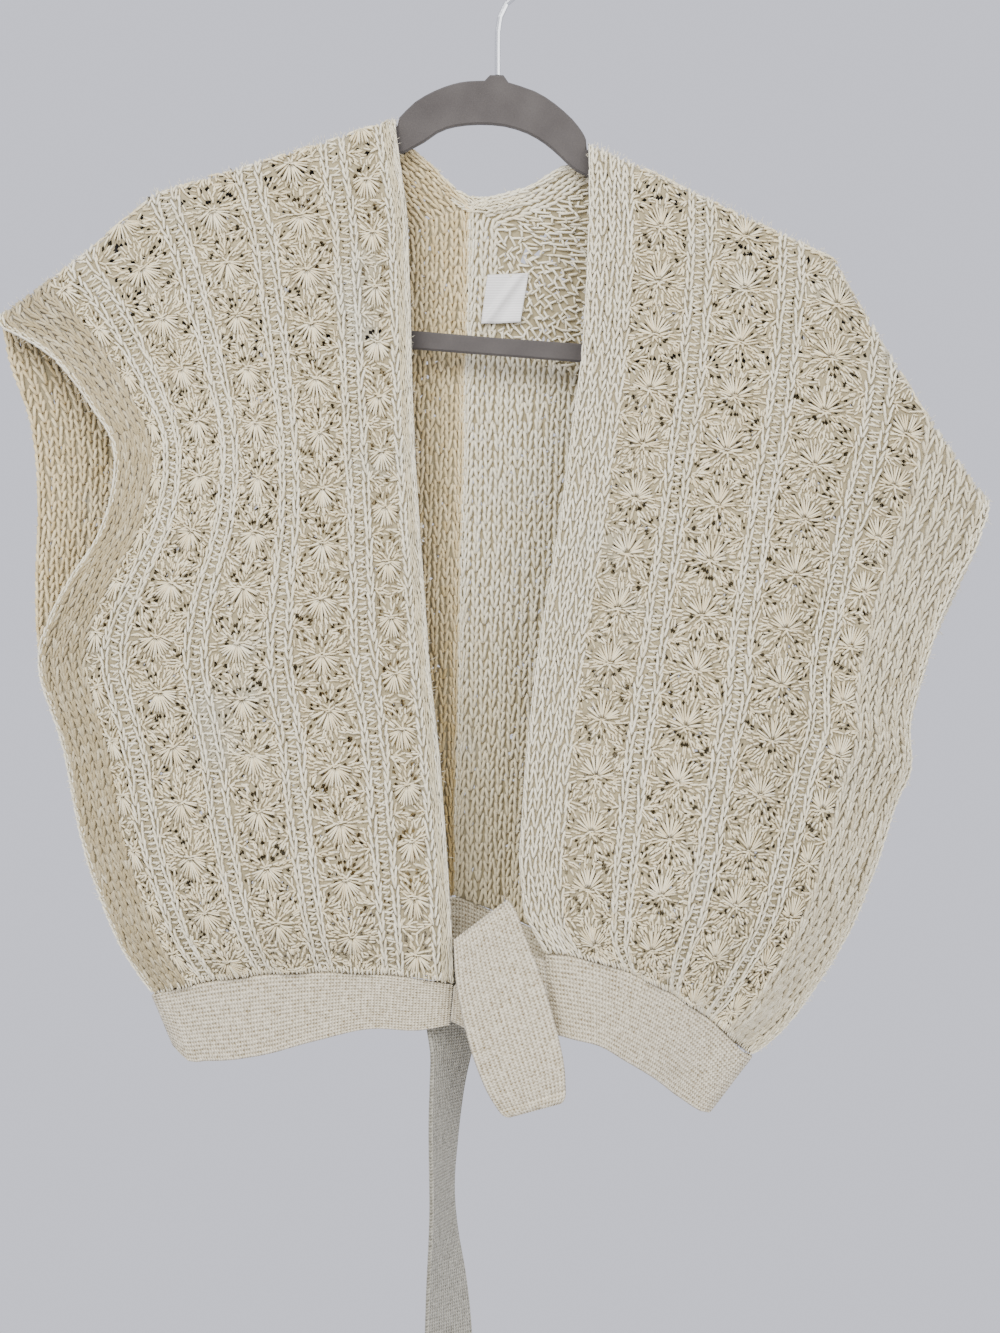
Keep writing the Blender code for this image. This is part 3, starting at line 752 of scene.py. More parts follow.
@dataclass(frozen=True)
class WovenSatin:
    """White polyester satin ribbon: smooth, with a soft sheen along its weave."""

    name: str = "polyester_satin"
    colour: str = "#F1EFEA"
    crease: str = "#DCD8D2"
    weft_mm: float = 0.8

    def build(self) -> bpy.types.Material:
        """Build the label's material.

        Returns:
            The material.
        """
        material, shader = start_material(self.name)
        place = add_node(material, "TexCoord", give="Object")
        weave = add_node(
            material, "TexWave",
            {
                "Scale": 1.0 / (self.weft_mm * MM) / FULL_TURN, "bands_direction": "Z",
                "Distortion": 0.3,
            },
            {"Vector": place}, give="Fac",
        )
        colour = add_node(
            material, "Mix", {"data_type": "RGBA", 6: linear(self.crease), 7: linear(self.colour)},
            {0: weave}, give=2,
        )
        bump = add_node(
            material, "Bump", {"Strength": 0.2, "Distance": 0.1 * MM}, {"Height": weave}
        )
        wire(
            material, shader, {"Roughness": 0.42, "Sheen Weight": 0.2},
            {"Base Color": colour, "Normal": bump},
        )
        return material


@dataclass(frozen=True)
class FlockedVelvet:
    """Short nylon flock glued on moulded ABS: matt warm grey with a pale grazing sheen."""

    name: str = "nylon_flock"
    colour: str = "#57524E"
    dark: str = "#47423F"

    def build(self) -> bpy.types.Material:
        """Build the hanger's material.

        Returns:
            The material.
        """
        material, shader = start_material(self.name)
        place = add_node(material, "TexCoord", give="Object")
        nap = add_node(
            material, "TexNoise", {"Scale": 1.0 / (0.9 * MM), "Detail": 5.0}, {"Vector": place}
        )
        brushed = add_node(
            material, "TexNoise", {"Scale": 1.0 / (22.0 * MM), "Detail": 2.0}, {"Vector": place}
        )
        shade = add_node(
            material, "Math", {"operation": "MULTIPLY_ADD", 1: 0.5}, {0: nap, 2: brushed}
        )
        spread = add_node(
            material, "MapRange", {"From Min": 0.45, "From Max": 1.05}, {"Value": shade}
        )
        colour = add_node(
            material, "Mix", {"data_type": "RGBA", 6: linear(self.dark), 7: linear(self.colour)},
            {0: spread}, give=2,
        )
        bump = add_node(material, "Bump", {"Strength": 0.35, "Distance": 0.2 * MM}, {"Height": nap})
        wire(
            material, shader, {"Roughness": 0.92, "Sheen Weight": 0.12},
            {"Base Color": colour, "Normal": bump},
        )
        return material


@dataclass(frozen=True)
class ChromedSteel:
    """Drawn steel wire, nickel and chrome plated: bright, with faint lengthwise die lines."""

    name: str = "chromed_steel_wire"
    colour: str = "#D9DADC"

    def build(self) -> bpy.types.Material:
        """Build the hook's material.

        Returns:
            The material.
        """
        material, shader = start_material(self.name)
        place = add_node(material, "TexCoord", give="Object")
        lines = add_node(
            material, "TexNoise", {"Scale": 1.0 / (0.8 * MM), "Detail": 2.0}, {"Vector": place}
        )
        gloss = add_node(material, "MapRange", {"To Min": 0.12, "To Max": 0.26}, {"Value": lines})
        wire(
            material, shader, {"Base Color": linear(self.colour), "Metallic": 1.0},
            {"Roughness": gloss},
        )
        return material


@dataclass
class Patch:
    """Front or back of a half panel, measured along the cloth upwards from its hem."""

    face: Face
    points: np.ndarray
    normals: np.ndarray
    holes: list = field(default_factory=list)
    reach: np.ndarray = field(init=False)
    table: np.ndarray = field(init=False)
    normal_table: np.ndarray = field(init=False)

    def __post_init__(self) -> None:
        """Resample the cloth at even heights along every column."""
        steps = np.linalg.norm(np.diff(self.points, axis=0), axis=2)
        lengths = np.vstack([np.zeros(steps.shape[1]), np.cumsum(steps, axis=0)])
        self.reach = lengths[-1]
        heights = np.arange(math.ceil(self.reach.max() / CELL) + 2) * CELL
        shape = (len(heights), self.points.shape[1], 3)
        self.table = np.zeros(shape)
        self.normal_table = np.zeros(shape)
        for column in range(shape[1]):
            for axis in range(3):
                spot = (slice(None), column, axis)
                known = lengths[:, column]
                self.table[spot] = np.interp(heights, known, self.points[spot])
                self.normal_table[spot] = np.interp(heights, known, self.normals[spot])

    def top(self, at: np.ndarray | float) -> np.ndarray | float:
        """Height of the shoulder's fold above the hem, at distances from the inner edge."""
        return np.interp(at, np.arange(len(self.reach)) * CELL, self.reach)

    def place(
        self, at: np.ndarray, up: np.ndarray, height: np.ndarray | float
    ) -> tuple[np.ndarray, np.ndarray]:
        """Find places on the cloth.

        Args:
            at: Distances from the inner edge.
            up: Heights above the hem, along the cloth.
            height: How far outwards from the middle of the wall.

        Returns:
            Points and outward normals, with one more axis than the places.
        """
        rows, columns = self.table.shape[:2]
        across = np.clip(at / CELL, 0.0, columns - 1.001)
        along = np.clip(up / CELL, 0.0, rows - 1.001)
        column = across.astype(int)
        row = along.astype(int)
        right = (across - column)[..., None]
        over = (along - row)[..., None]
        found = []
        for table in (self.table, self.normal_table):
            low = blend(table[row, column], table[row, column + 1], right)
            high = blend(table[row + 1, column], table[row + 1, column + 1], right)
            found.append(blend(low, high, over))
        normals = unit(found[1])
        return found[0] + normals * np.asarray(height)[..., None], normals

    def skew(self, at: np.ndarray, up: np.ndarray) -> np.ndarray:
        """How far the cloth climbs for each step outwards, so that stitches can stay upright.

        Args:
            at: Distances from the inner edge.
            up: Heights above the hem.

        Returns:
            Heights climbed, along the cloth, for each unit outwards.
        """
        reach = CELL
        out = self.place(at + reach, up, 0.0)[0] - self.place(at - reach, up, 0.0)[0]
        rise = self.place(at, up + reach, 0.0)[0] - self.place(at, up - reach, 0.0)[0]
        square = np.maximum((rise * rise).sum(axis=-1), 1e-6)
        return np.clip((out * rise).sum(axis=-1) / square, -1.2, 1.2)


@dataclass
class HalfForm:
    """True shape of one half of the vest: its front, its shoulder fold and its back."""

    front: tuple
    shoulder: Shoulder
    back: tuple
    drapes: tuple
    stitches: Stitches
    side: Side
    front_patch: Patch = field(init=False)
    back_patch: Patch = field(init=False)
    courses: list = field(init=False)

    def __post_init__(self) -> None:
        """Work out the cloth's points and split them at the fold."""
        shift = self.side.value * GAP / 2.0
        back = [row._replace(inner_x=row.inner_x + shift) for row in self.back]
        rows = list(self.front) + self.fold() + back
        self.courses = self.fill(rows)
        columns = np.arange(0.0, PANEL_WIDTH + CELL / 2.0, CELL)
        grid = np.array([self.course_points(course, columns) for course in self.courses])
        across = np.gradient(grid, axis=1)
        along = np.gradient(grid, axis=0)
        normals = np.cross(across, along)
        normals[:, 0, 0] = 0.0
        normals[[0, -1], :, 2] = 0.0
        normals = unit(normals) * self.side.value
        tops = [index for index, course in enumerate(self.courses) if course.inner_y == 0.0]
        middle = tops[0]
        self.front_patch = Patch(Face.FRONT, grid[:middle + 1], normals[:middle + 1])
        self.back_patch = Patch(Face.BACK, grid[middle:][::-1], normals[middle:][::-1])

    def fold(self) -> list[Course]:
        """Courses that carry the cloth over the hanger's arm.

        Returns:
            Courses from the front of the fold to its back.
        """
        rows = []
        line = self.shoulder
        for turn in FOLD_TURNS:
            angle = math.radians(turn)
            depth = FOLD_RADIUS * math.sin(angle)
            drop = FOLD_RADIUS * (1.0 - math.cos(angle))
            rows.append(Course(
                line.inner_x, line.inner_z - drop, depth, line.outer_x, line.outer_z - drop, depth,
                line.rise, 1.0, 0.0,
            ))
        return rows

    def fill(self, rows: list[Course]) -> list[Course]:
        """Add courses in between: edges run straight and the rest is smooth.

        Args:
            rows: Courses of the tables and of the fold.

        Returns:
            Courses no further apart than COURSE_STEP.
        """
        result = []
        last = len(rows) - 1
        for index in range(last):
            ring = [rows[min(max(index + shift, 0), last)] for shift in (-1, 0, 1, 2)]
            here = ring[1]
            there = ring[2]
            span = max(math.dist(here[0:3], there[0:3]), math.dist(here[3:6], there[3:6]))
            count = max(1, math.ceil(span / COURSE_STEP))
            for step in range(count):
                values = []
                for place in range(len(Course._fields)):
                    if place in STRAIGHT_FIELDS:
                        values.append(blend(here[place], there[place], step / count))
                    else:
                        values.append(spline_value(*[row[place] for row in ring], step / count))
                result.append(Course(*values))
        result.append(rows[-1])
        return result

    def line_point(self, course: Course, along: np.ndarray | float) -> np.ndarray:
        """Points of a course at shares of its length, without drapes.

        Args:
            course: The course.
            along: Shares of the way from its inner to its outer edge.

        Returns:
            Points, with x, y and z on the last axis.
        """
        lift = blend(bow(along), tent(along), course.corner)
        x = blend(course.inner_x, course.outer_x, along)
        y = blend(course.inner_y, course.outer_y, along) + course.belly * bow(along)
        z = blend(course.inner_z, course.outer_z, along) + course.rise * lift
        return np.stack(np.broadcast_arrays(x, y, z), axis=-1).astype(float)

    def course_points(self, course: Course, at: np.ndarray) -> np.ndarray:
        """Points of a course at distances from its inner edge, with drapes and gathers.

        Args:
            course: The course.
            at: Distances from the inner edge.

        Returns:
            One point a distance.
        """
        width = abs(course.outer_x - course.inner_x)
        share = at / PANEL_WIDTH
        share = share + (PANEL_WIDTH / width - 1.0) * share * (1.0 - share) ** 2
        points = self.line_point(course, share)
        outwards = -1.0 if course.inner_y < 0.0 else 1.0
        push = self.gather(course, at)
        if outwards < 0.0:
            push = push + self.drape(at, points[:, 2])
        points[:, 1] += outwards * push
        return points

    def drape(self, at: np.ndarray, z: np.ndarray) -> np.ndarray:
        """How far the soft folds push the cloth outwards.

        Args:
            at: Distances from the inner edge.
            z: World heights of the same places.

        Returns:
            One depth a place.
        """
        depth = np.zeros_like(at)
        for fold in self.drapes:
            across = np.exp(-(((at - fold.at) / fold.width) ** 2))
            middle = (fold.top_z + fold.low_z) / 2.0
            half = (fold.top_z - fold.low_z) / 2.0
            depth += fold.depth * across * np.maximum(0.0, 1.0 - ((z - middle) / half) ** 2)
        return depth

    def gather(self, course: Course, at: np.ndarray) -> np.ndarray:
        """The flutes above the waistband: star columns stand out and pairs of wales lie in.

        Args:
            course: The course.
            at: Distances from the inner edge.

        Returns:
            How far each place stands out.
        """
        middle = self.line_point(course, 0.5)
        hems = [self.line_point(row, 0.5) for row in (self.front[0], self.back[-1])]
        distance = min(float(np.linalg.norm(middle - hem)) for hem in hems)
        fade = smooth_step(1.0 - distance / GATHER_REACH)
        edge = smooth_step(at / GATHER_MARGIN) * smooth_step((PANEL_WIDTH - at) / GATHER_MARGIN)
        turn = 2.0 * np.pi * (at - self.stitches.stars[1]) / self.stitches.repeat
        return GATHER_DEPTH * fade * edge * np.cos(turn)


# Where a strand has its rings of points, by their number, as shares of its length
RING_SHARES = {1: (0.5,), 2: (0.2, 0.8)}


@dataclass
class StrandBundle:
    """Collects strands of yarn, each a thin three-sided spindle, and joins them into one mesh."""

    rings: int = 2
    bare: tuple = ()
    points: list = field(default_factory=list)
    faces: list = field(default_factory=list)
    tones: list = field(default_factory=list)
    count: int = 0

    def lay(
        self, patch: Patch, at: np.ndarray, up: np.ndarray, height: np.ndarray,
        radius: np.ndarray, tone: np.ndarray,
    ) -> None:
        """Lay strands on a patch of cloth, each through three places.

        Args:
            patch: The cloth.
            at: Distances from the inner edge, one strand a row.
            up: Heights above the hem, alike.
            height: How far outwards the strands' centres lie, alike.
            radius: The strands' radii, alike.
            tone: One shade a strand.
        """
        centres, normals = patch.place(at, up, height)
        if self.bare:
            left, right, low, high = self.bare
            x, _, z = centres[:, 1].T
            shown = (x < left) | (x > right) | (z < low) | (z > high)
            centres, normals, radius, tone = (
                values[shown] for values in (centres, normals, radius, tone)
            )
        self.spin(centres, normals, radius, tone)

    def spin(
        self, centres: np.ndarray, normals: np.ndarray, radius: np.ndarray, tone: np.ndarray
    ) -> None:
        """Add closed strands whose ends run out to a point.

        Args:
            centres: Start, middle and end of each strand.
            normals: Directions away from the cloth, alike.
            radius: Radii, as strand and place.
            tone: One shade a strand.
        """
        strands = len(centres)
        if strands == 0:
            return
        shares = np.array(RING_SHARES[self.rings])
        weights = np.stack([
            2.0 * (shares - 0.5) * (shares - 1.0), bow(shares), 2.0 * shares * (shares - 0.5)
        ], axis=1)
        along = unit(centres[:, 2] - centres[:, 0])
        across = unit(np.cross(along, normals[:, 1]))
        above = np.cross(across, along)
        size = 2 + 3 * self.rings
        index = np.arange(strands * size).reshape(strands, size) + self.count
        points = [centres[:, 0]]
        faces = []
        for ring, weight in enumerate(weights):
            spot = np.einsum("p,spa->sa", weight, centres)
            reach = (radius @ np.abs(weight) / np.abs(weight).sum())[:, None]
            for side in range(3):
                angle = math.pi / 2.0 + 2.0 * math.pi * side / 3.0
                points.append(spot + reach * (math.cos(angle) * across + math.sin(angle) * above))
                here = index[:, 1 + 3 * ring + side]
                after = index[:, 1 + 3 * ring + (side + 1) % 3]
                if ring == 0:
                    faces.append(np.stack([index[:, 0], after, here], axis=-1))
                if ring == self.rings - 1:
                    faces.append(np.stack([here, after, index[:, -1]], axis=-1))
                else:
                    faces.append(np.stack([here, after, after + 3], axis=-1))
                    faces.append(np.stack([here, after + 3, here + 3], axis=-1))
        points.append(centres[:, 2])
        self.points.append(np.stack(points, axis=1).reshape(-1, 3))
        self.faces.append(np.concatenate(faces))
        self.tones.append(np.repeat(tone, size))
        self.count += strands * size

    def piece(self, name: str) -> bpy.types.Object:
        """Join the strands.

        Args:
            name: Name of the piece.

        Returns:
            The mesh object, with each strand's tone stored at its points.
        """
        thing = mesh_piece(name, np.concatenate(self.points), np.concatenate(self.faces))
        set_tone(thing, np.concatenate(self.tones))
        return thing


@dataclass(frozen=True)
class Motif:
    """A small figure in millimetres about its own centre.

    A strand is three places of across, up, lift and radius. A hole is an outline.
    """

    strands: np.ndarray
    holes: list


def ray(centre: tuple, turn: float, reach: float, side: float = 0.0) -> tuple[float, float]:
    """Go out from a centre.

    Args:
        centre: The centre, across and up.
        turn: The direction, in degrees clockwise from straight up.
        reach: How far out.
        side: How far off to the side.

    Returns:
        The place, across and up.
    """
    angle = math.radians(turn)
    return (
        centre[0] + math.sin(angle) * reach + math.cos(angle) * side,
        centre[1] + math.cos(angle) * reach - math.sin(angle) * side,
    )


@dataclass
class StarChart:
    """Charts one repeat of the shell stitch that reads as a star, its fan opening upwards."""

    width: float
    height: float
    seed: int
    hole_share: float
    fan: tuple = (-74, -53, -34, -16, 0, 16, 34, 53, 74)
    fan_reach: float = 12.6
    fan_margin: tuple = (0.5, 8.0)
    spoke_split: float = 3.6
    spoke_start: float = 1.5
    spoke_lifts: tuple = (2.0, 1.5)
    spoke_radius: float = 0.86
    wedge: tuple = (6.0, 11.0, 0.8)
    ring_count: int = 6
    ring_start: float = 2.4
    ring_step: float = 3.9
    ring_radius: float = 0.95
    strand_gap: float = 2.1
    slit_reach: float = 1.8
    slit_half: float = 1.15
    side_pull: float = 1.3
    gap_step: float = 2.2
    gap_reach: float = 1.9
    strands: list = field(default_factory=list)
    holes: list = field(default_factory=list)
    random: np.random.Generator = field(init=False)

    def __post_init__(self) -> None:
        """Start the chart's own fixed sequence of random draws."""
        self.random = np.random.default_rng(self.seed)

    def centres(self) -> np.ndarray:
        """List what the stitches of a repeat turn about.

        Returns:
            The star's centre, its neighbours' and the knots of the shells between them.
        """
        half = self.width / 2.0
        rows = [(0.0, 0.0), (0.0, self.height), (0.0, -self.height)]
        rows += [(side * half, turn * self.height / 2.0) for side in (-1, 1) for turn in (-1, 1)]
        return np.array(rows)

    def owner(self, x: float, y: float) -> int:
        """Find the centre of a place; the knots hold less of the cloth than the stars.

        Args:
            x: How far the place lies beside the star.
            y: How far it lies above the star.

        Returns:
            Number of its centre.
        """
        gaps = np.linalg.norm(self.centres() - np.array((x, y)), axis=1)
        gaps[3:] *= self.side_pull
        return int(np.argmin(gaps))

    def in_fan(self, x: float, y: float) -> bool:
        """Test whether a place lies under the open fan.

        Args:
            x: How far the place lies beside the star.
            y: How far it lies above the star.

        Returns:
            Whether it does.
        """
        beyond, aside = self.fan_margin
        turn = abs(math.degrees(math.atan2(x, y)))
        return math.hypot(x, y) < self.fan_reach + beyond and turn < max(self.fan) + aside

    def add_strand(
        self, centre: tuple, turn: float, near: float, far: float, lifts: tuple, radius: float
    ) -> None:
        """Add a strand that points away from a centre, slightly bowed.

        Args:
            centre: The centre.
            turn: Its direction, in degrees clockwise from straight up.
            near: Where it starts.
            far: Where it ends.
            lifts: Its height over the cloth, near and far.
            radius: Its thickness.
        """
        bend = self.random.normal(0.0, 0.35)
        line = []
        for step, girth in ((0.0, 0.7), (0.5, 1.0), (1.0, 0.65)):
            lift = blend(lifts[0], lifts[1], step) + 0.35 * bow(step)
            place = ray(centre, turn, blend(near, far, step), bend * bow(step))
            line.append((*place, lift, radius * girth))
        self.strands.append(line)

    def add_hole(self, centre: tuple, turn: float, near: float, far: float, wide: float) -> None:
        """Note a slit that points away from a centre.

        Args:
            centre: The centre.
            turn: Its direction, in degrees clockwise from straight up.
            near: Where it starts.
            far: Where it ends.
            wide: Half its greatest width.
        """
        middle = blend(near, far, 0.6)
        corners = ((near, 0.0), (middle, wide), (far, 0.0), (middle, -wide))
        self.holes.append([ray(centre, turn, reach, side) for reach, side in corners])

    def chart_fan(self) -> None:
        """Long paired spokes that open upwards from the centre, with wedges between them."""
        for turn in self.fan:
            lean = math.radians(turn)
            far = self.fan_reach * (1.0 + 0.1 * math.cos(2.0 * lean))
            far = min(far, (self.width / 2.0 - 0.5) / max(abs(math.sin(lean)), 0.1))
            for side in (-1, 1):
                self.add_strand(
                    (0, 0), turn + side * self.spoke_split, self.spoke_start, far,
                    self.spoke_lifts, self.spoke_radius,
                )
        for low, high in zip(self.fan[:-1], self.fan[1:]):
            self.add_hole((0, 0), (low + high) / 2.0, *self.wedge)

    def chart_rings(self, centre: tuple, mine: int) -> None:
        """Short strands in rings round a centre, as far as its share of the cloth goes.

        Args:
            centre: The centre.
            mine: Its place in the list of centres.
        """
        half = self.width / 2.0
        for ring in range(self.ring_count):
            reach = self.ring_start + ring * self.ring_step
            count = max(5, round(2.0 * math.pi * reach / self.strand_gap))
            for step in range(count):
                turn = 360.0 * (step + 0.5 * (ring % 2)) / count + self.random.normal(0.0, 4.0)
                x, y = ray(centre, turn, reach)
                outside = abs(x) > half - 0.4 or abs(y) > self.height / 2.0
                if outside or self.owner(x, y) != mine or self.in_fan(x, y):
                    continue
                if ring and self.random.uniform() < self.hole_share * (1.3 - 0.25 * ring):
                    slit = (reach - self.slit_reach, reach + self.slit_reach, self.slit_half)
                    self.add_hole(centre, turn, *slit)
                    continue
                tilt = turn + self.random.normal(0.0, 9.0)
                long = self.ring_step * self.random.uniform(0.55, 0.75)
                lifts = (1.4, 1.1) if ring else (1.9, 1.5)
                start = ray((x, y), tilt, -long)
                self.add_strand(start, tilt, 0.0, 2.0 * long, lifts, self.ring_radius)

    def chart_gaps(self) -> None:
        """Fill what the rings leave bare with low strands that point to the nearest centre."""
        middles = [line[1][:2] for line in self.strands]
        middles += [tuple(np.mean(hole, axis=0)) for hole in self.holes]
        half = self.width / 2.0
        long = 2.0 * self.gap_reach
        for x in np.arange(-half + 0.8, half, self.gap_step):
            for y in np.arange(-self.height / 2.0, self.height / 2.0, self.gap_step):
                place = np.array((x, y)) + self.random.normal(0.0, 0.3, 2)
                if self.in_fan(*place) or abs(place[0]) > half - 0.3:
                    continue
                if np.linalg.norm(np.array(middles) - place, axis=1).min() < self.gap_step * 0.8:
                    continue
                centre = self.centres()[self.owner(*place)]
                turn = math.degrees(math.atan2(*(place - centre))) + self.random.normal(0.0, 14.0)
                start = ray(place, turn, -self.gap_reach)
                self.add_strand(start, turn, 0.0, long, (0.9, 1.0), self.ring_radius)
                middles.append(tuple(place))

    def chart(self) -> Motif:
        """Chart the whole repeat, about the star's centre.

        Returns:
            Its strands and the outlines of its holes.
        """
        self.chart_fan()
        for mine, centre in enumerate(self.centres()):
            self.chart_rings(tuple(centre), mine)
        self.chart_gaps()
        for shift in (-0.6, 0.8):
            ends = [(side, shift - 0.4, 1.8, 0.4) for side in (-2.0, 2.0)]
            self.strands.append([ends[0], (0.0, shift, 2.5, 0.7), ends[1]])
        return Motif(np.array(self.strands), [np.array([hole]) for hole in self.holes])


@dataclass
class Knitter:
    """Lays figures of strands on one patch of cloth and notes the holes among them."""

    patch: Patch
    bundle: StrandBundle
    random: np.random.Generator
    link_pitch: float = 7.4
    stroke_pitch: float = 5.55
    wide_wale: float = 6.0
    # Painted shade: how much the inside chains darken towards the hem, and over what reach
    inside_hem_painted_shade: float = 0.9
    hem_painted_shade_reach: float = 190.0
    strand_margin: float = 0.6
    hole_margin: float = 1.2

    def centres(
        self, at: float, pitch: float, start: float, beyond: float = 0.0
    ) -> tuple[np.ndarray, np.ndarray]:
        """Places at an even pitch up a column.

        Args:
            at: Distance of the column from the inner edge.
            pitch: Step between places.
            start: Height of the first.
            beyond: How far past the shoulder's fold they go.

        Returns:
            Distances and heights of the places.
        """
        ups = np.arange(start, float(self.patch.top(at)) + beyond, pitch)
        return np.full_like(ups, at), ups

    def spread(self, centres: tuple, figure: np.ndarray, jitter: float) -> list[np.ndarray]:
        """Copy a figure to every centre, upright whatever the slope of the cloth.

        Args:
            centres: Where the copies go, across and up.
            figure: Places of the figure, as strand, place and (across, up, and what else it has).
            jitter: How far each strand may stray.

        Returns:
            Distances and heights of all the copies, then what else the figure has.
        """
        at, up = centres
        across = figure[None, :, :, 0]
        rise = figure[None, :, :, 1]
        lean = self.patch.skew(at, up)[:, None, None]
        halfway = up[:, None, None] + rise - 0.5 * lean * across
        skew = self.patch.skew(at[:, None, None] + 0.5 * across, halfway)
        stray = self.random.normal(0.0, jitter, (2, len(at), figure.shape[0], 1))
        sway = self.random.normal(0.0, 0.6 * jitter, (2, len(at), figure.shape[0], 1))
        stray = stray + sway * np.linspace(-1.0, 1.0, figure.shape[1])
        places = at[:, None, None] + across + stray[0]
        ups = up[:, None, None] + rise + stray[1] - skew * across
        shape = (-1, figure.shape[1])
        rest = [np.tile(figure[:, :, part], (len(at), 1)) for part in range(2, figure.shape[2])]
        return [places.reshape(shape), ups.reshape(shape), *rest]

    def lay_copies(
        self, centres: tuple, figure: np.ndarray, jitter: float, deepest: float
    ) -> None:
        """Lay copies of a figure whose middles are on the cloth, ended at the hem and the fold.

        Args:
            centres: Where the copies go.
            figure: Strands of three places of across, up, lift and radius.
            jitter: How far each strand may stray.
            deepest: Deepest shade of a strand.
        """
        at, up, lift, radius = self.spread(centres, figure, jitter)
        margin = self.strand_margin
        keep = np.all((at > margin) & (at < PANEL_WIDTH - margin), axis=1)
        keep &= (up[:, 1] > 0.2) & (up[:, 1] < self.patch.top(at[:, 1]))
        up = np.clip(up, 0.2, self.patch.top(at) + 0.4)
        tone = self.random.uniform(deepest, 1.0, len(at))
        self.bundle.lay(self.patch, at[keep], up[keep], lift[keep], radius[keep], tone[keep])

    def lay_motif(self, centres: tuple, motif: Motif, flip: float) -> None:
        """Lay copies of a motif and note their holes.

        Args:
            centres: Where the copies go.
            motif: The figure.
            flip: 1, or -1 to turn it upside down.
        """
        self.lay_copies(centres, motif.strands * (1.0, flip, 1.0, 1.0), 0.32, 0.25)
        for outline in motif.holes:
            at, up = self.spread(centres, outline * (1.0, flip), 0.15)
            size = self.random.uniform(0.75, 1.2, (len(at), 1))
            at = at.mean(axis=1, keepdims=True) * (1 - size) + at * size
            up = up.mean(axis=1, keepdims=True) * (1 - size) + up * size
            self.note_holes(at, up)

    def note_holes(self, at: np.ndarray, up: np.ndarray, picked: np.ndarray | bool = True) -> None:
        """Note the holes that lie wholly on the cloth.

        Args:
            at: Distances of the outlines' corners, one hole a row.
            up: Heights of the corners, alike.
            picked: Which holes to take of those.
        """
        margin = self.hole_margin
        across = (at > margin) & (at < PANEL_WIDTH - margin)
        along = (up > margin) & (up < self.patch.top(at) - margin / 2.0)
        keep = np.all(across & along, axis=1) & picked
        self.patch.holes += list(np.stack([at[keep], up[keep]], axis=-1))

    def note_slits(self, centres: tuple, outline: np.ndarray, jitter: float, share: float) -> None:
        """Note a small hole at some of the centres.

        Args:
            centres: Where the holes may be.
            outline: The hole's outline.
            jitter: How far each may stray.
            share: Share of the centres that have one.
        """
        at, up = self.spread(centres, outline, jitter)
        self.note_holes(at, up, self.random.uniform(size=len(at)) < share)

    def lay_wale(self, at: float, wale: Wale, until: float = math.inf) -> None:
        """Lay one chain of slanted strokes up the cloth.

        Args:
            at: Distance of the chain from the inner edge.
            wale: The chain.
            until: Height above the hem where it ends, if it ends below the fold.
        """
        pitch = self.stroke_pitch
        start = 1.0 + 0.6 * pitch * self.random.uniform()
        ats, ups = self.centres(at, pitch, start)
        centres = (ats[ups < until], ups[ups < until])
        half = wale.width / 2.0
        over = 0.5 if wale.lift > 0.0 else -0.5
        figure = []
        for side in (-1, 1) if wale.width < self.wide_wale else (-1, 0, 1):
            figure.append([
                (side * 0.08 * half, -0.85 * pitch, wale.lift - over, 0.6),
                (side * 0.52 * half, -0.05 * pitch, wale.lift + over, 1.2),
                (side * 0.82 * half, 0.75 * pitch, wale.lift - 0.7 * over, 0.6),
            ])
        places, ups, lift, radius = self.spread(centres, np.array(figure), 0.34)
        ups = np.clip(ups, 0.3, self.patch.top(places))
        shades = self.random.normal(wale.tone, 0.16, len(places))
        # Painted shade: on the inside the chains darken towards the hem
        if wale.lift < 0.0:
            shades -= self.inside_hem_painted_shade * np.clip(1.0 - ups[:, 1] / self.hem_painted_shade_reach, 0.0, 1.0)
        shades = np.clip(shades, 0.0, 1.0)
        self.bundle.lay(self.patch, places, ups, lift, radius * min(1.5, half / 2.1), shades)

    def lay_ladder(self, at: float) -> None:
        """Lay the small stitches between the two chains of a pair, with gaps among them.

        Args:
            at: Distance of the pair's middle from the inner edge.
        """
        pitch = self.link_pitch / 2.0
        centres = self.centres(at, pitch, 2.0)
        figure = np.array([
            [(-3.6, -0.9, 0.9, 0.7), (0.0, 0.3, 1.5, 1.1), (3.6, 0.9, 0.9, 0.7)],
            [(-3.0, 1.2, 0.8, 0.6), (-0.8, -0.2, 1.2, 1.0), (2.2, -1.6, 0.8, 0.6)],
        ])
        self.lay_copies(centres, figure, 0.6, 0.2)
        for side in (-1.0, 1.0):
            hole = np.array([[(-0.9, 0.0), (0.0, -1.2), (0.9, 0.0), (0.0, 1.2)]])
            hole = hole + np.array([side * 1.7, side * 0.9 + pitch / 2.0])
            self.note_slits(centres, hole, 0.3, 0.7)

    def slit_rows(self, wales: tuple) -> None:
        """Note short upright slits midway between neighbouring chains.

        Args:
            wales: Distances of the chains from the inner edge.
        """
        hole = np.array([[(-0.5, 0.0), (0.0, -1.7), (0.5, 0.0), (0.0, 1.7)]])
        for low, high in zip(wales[:-1], wales[1:]):
            centres = self.centres((low + high) / 2.0, self.stroke_pitch, 3.0)
            self.note_slits(centres, hole, 0.25, 0.5)

    def lay_hem(self) -> None:
        """Lay the short stitches that join the hem to the waistband."""
        at = np.arange(1.5, PANEL_WIDTH - 1.0, 2.6)
        at = at + self.random.normal(0.0, 0.3, len(at))
        sway = self.random.normal(0.0, 0.5, len(at))
        ats = np.stack([at, at, at + sway], axis=1)
        ups = np.tile((4.2, 1.8, 0.2), (len(at), 1)) + np.abs(sway)[:, None]
        centres, normals = self.patch.place(ats, ups, np.tile((1.2, 1.5, 1.0), (len(at), 1)))
        centres[:, 2, 2] -= np.where(at > 200.0, 3.0, 1.8)
        radius = np.tile((0.6, 1.0, 0.7), (len(at), 1))
        self.bundle.spin(centres, normals, radius, self.random.uniform(0.3, 1.0, len(at)))


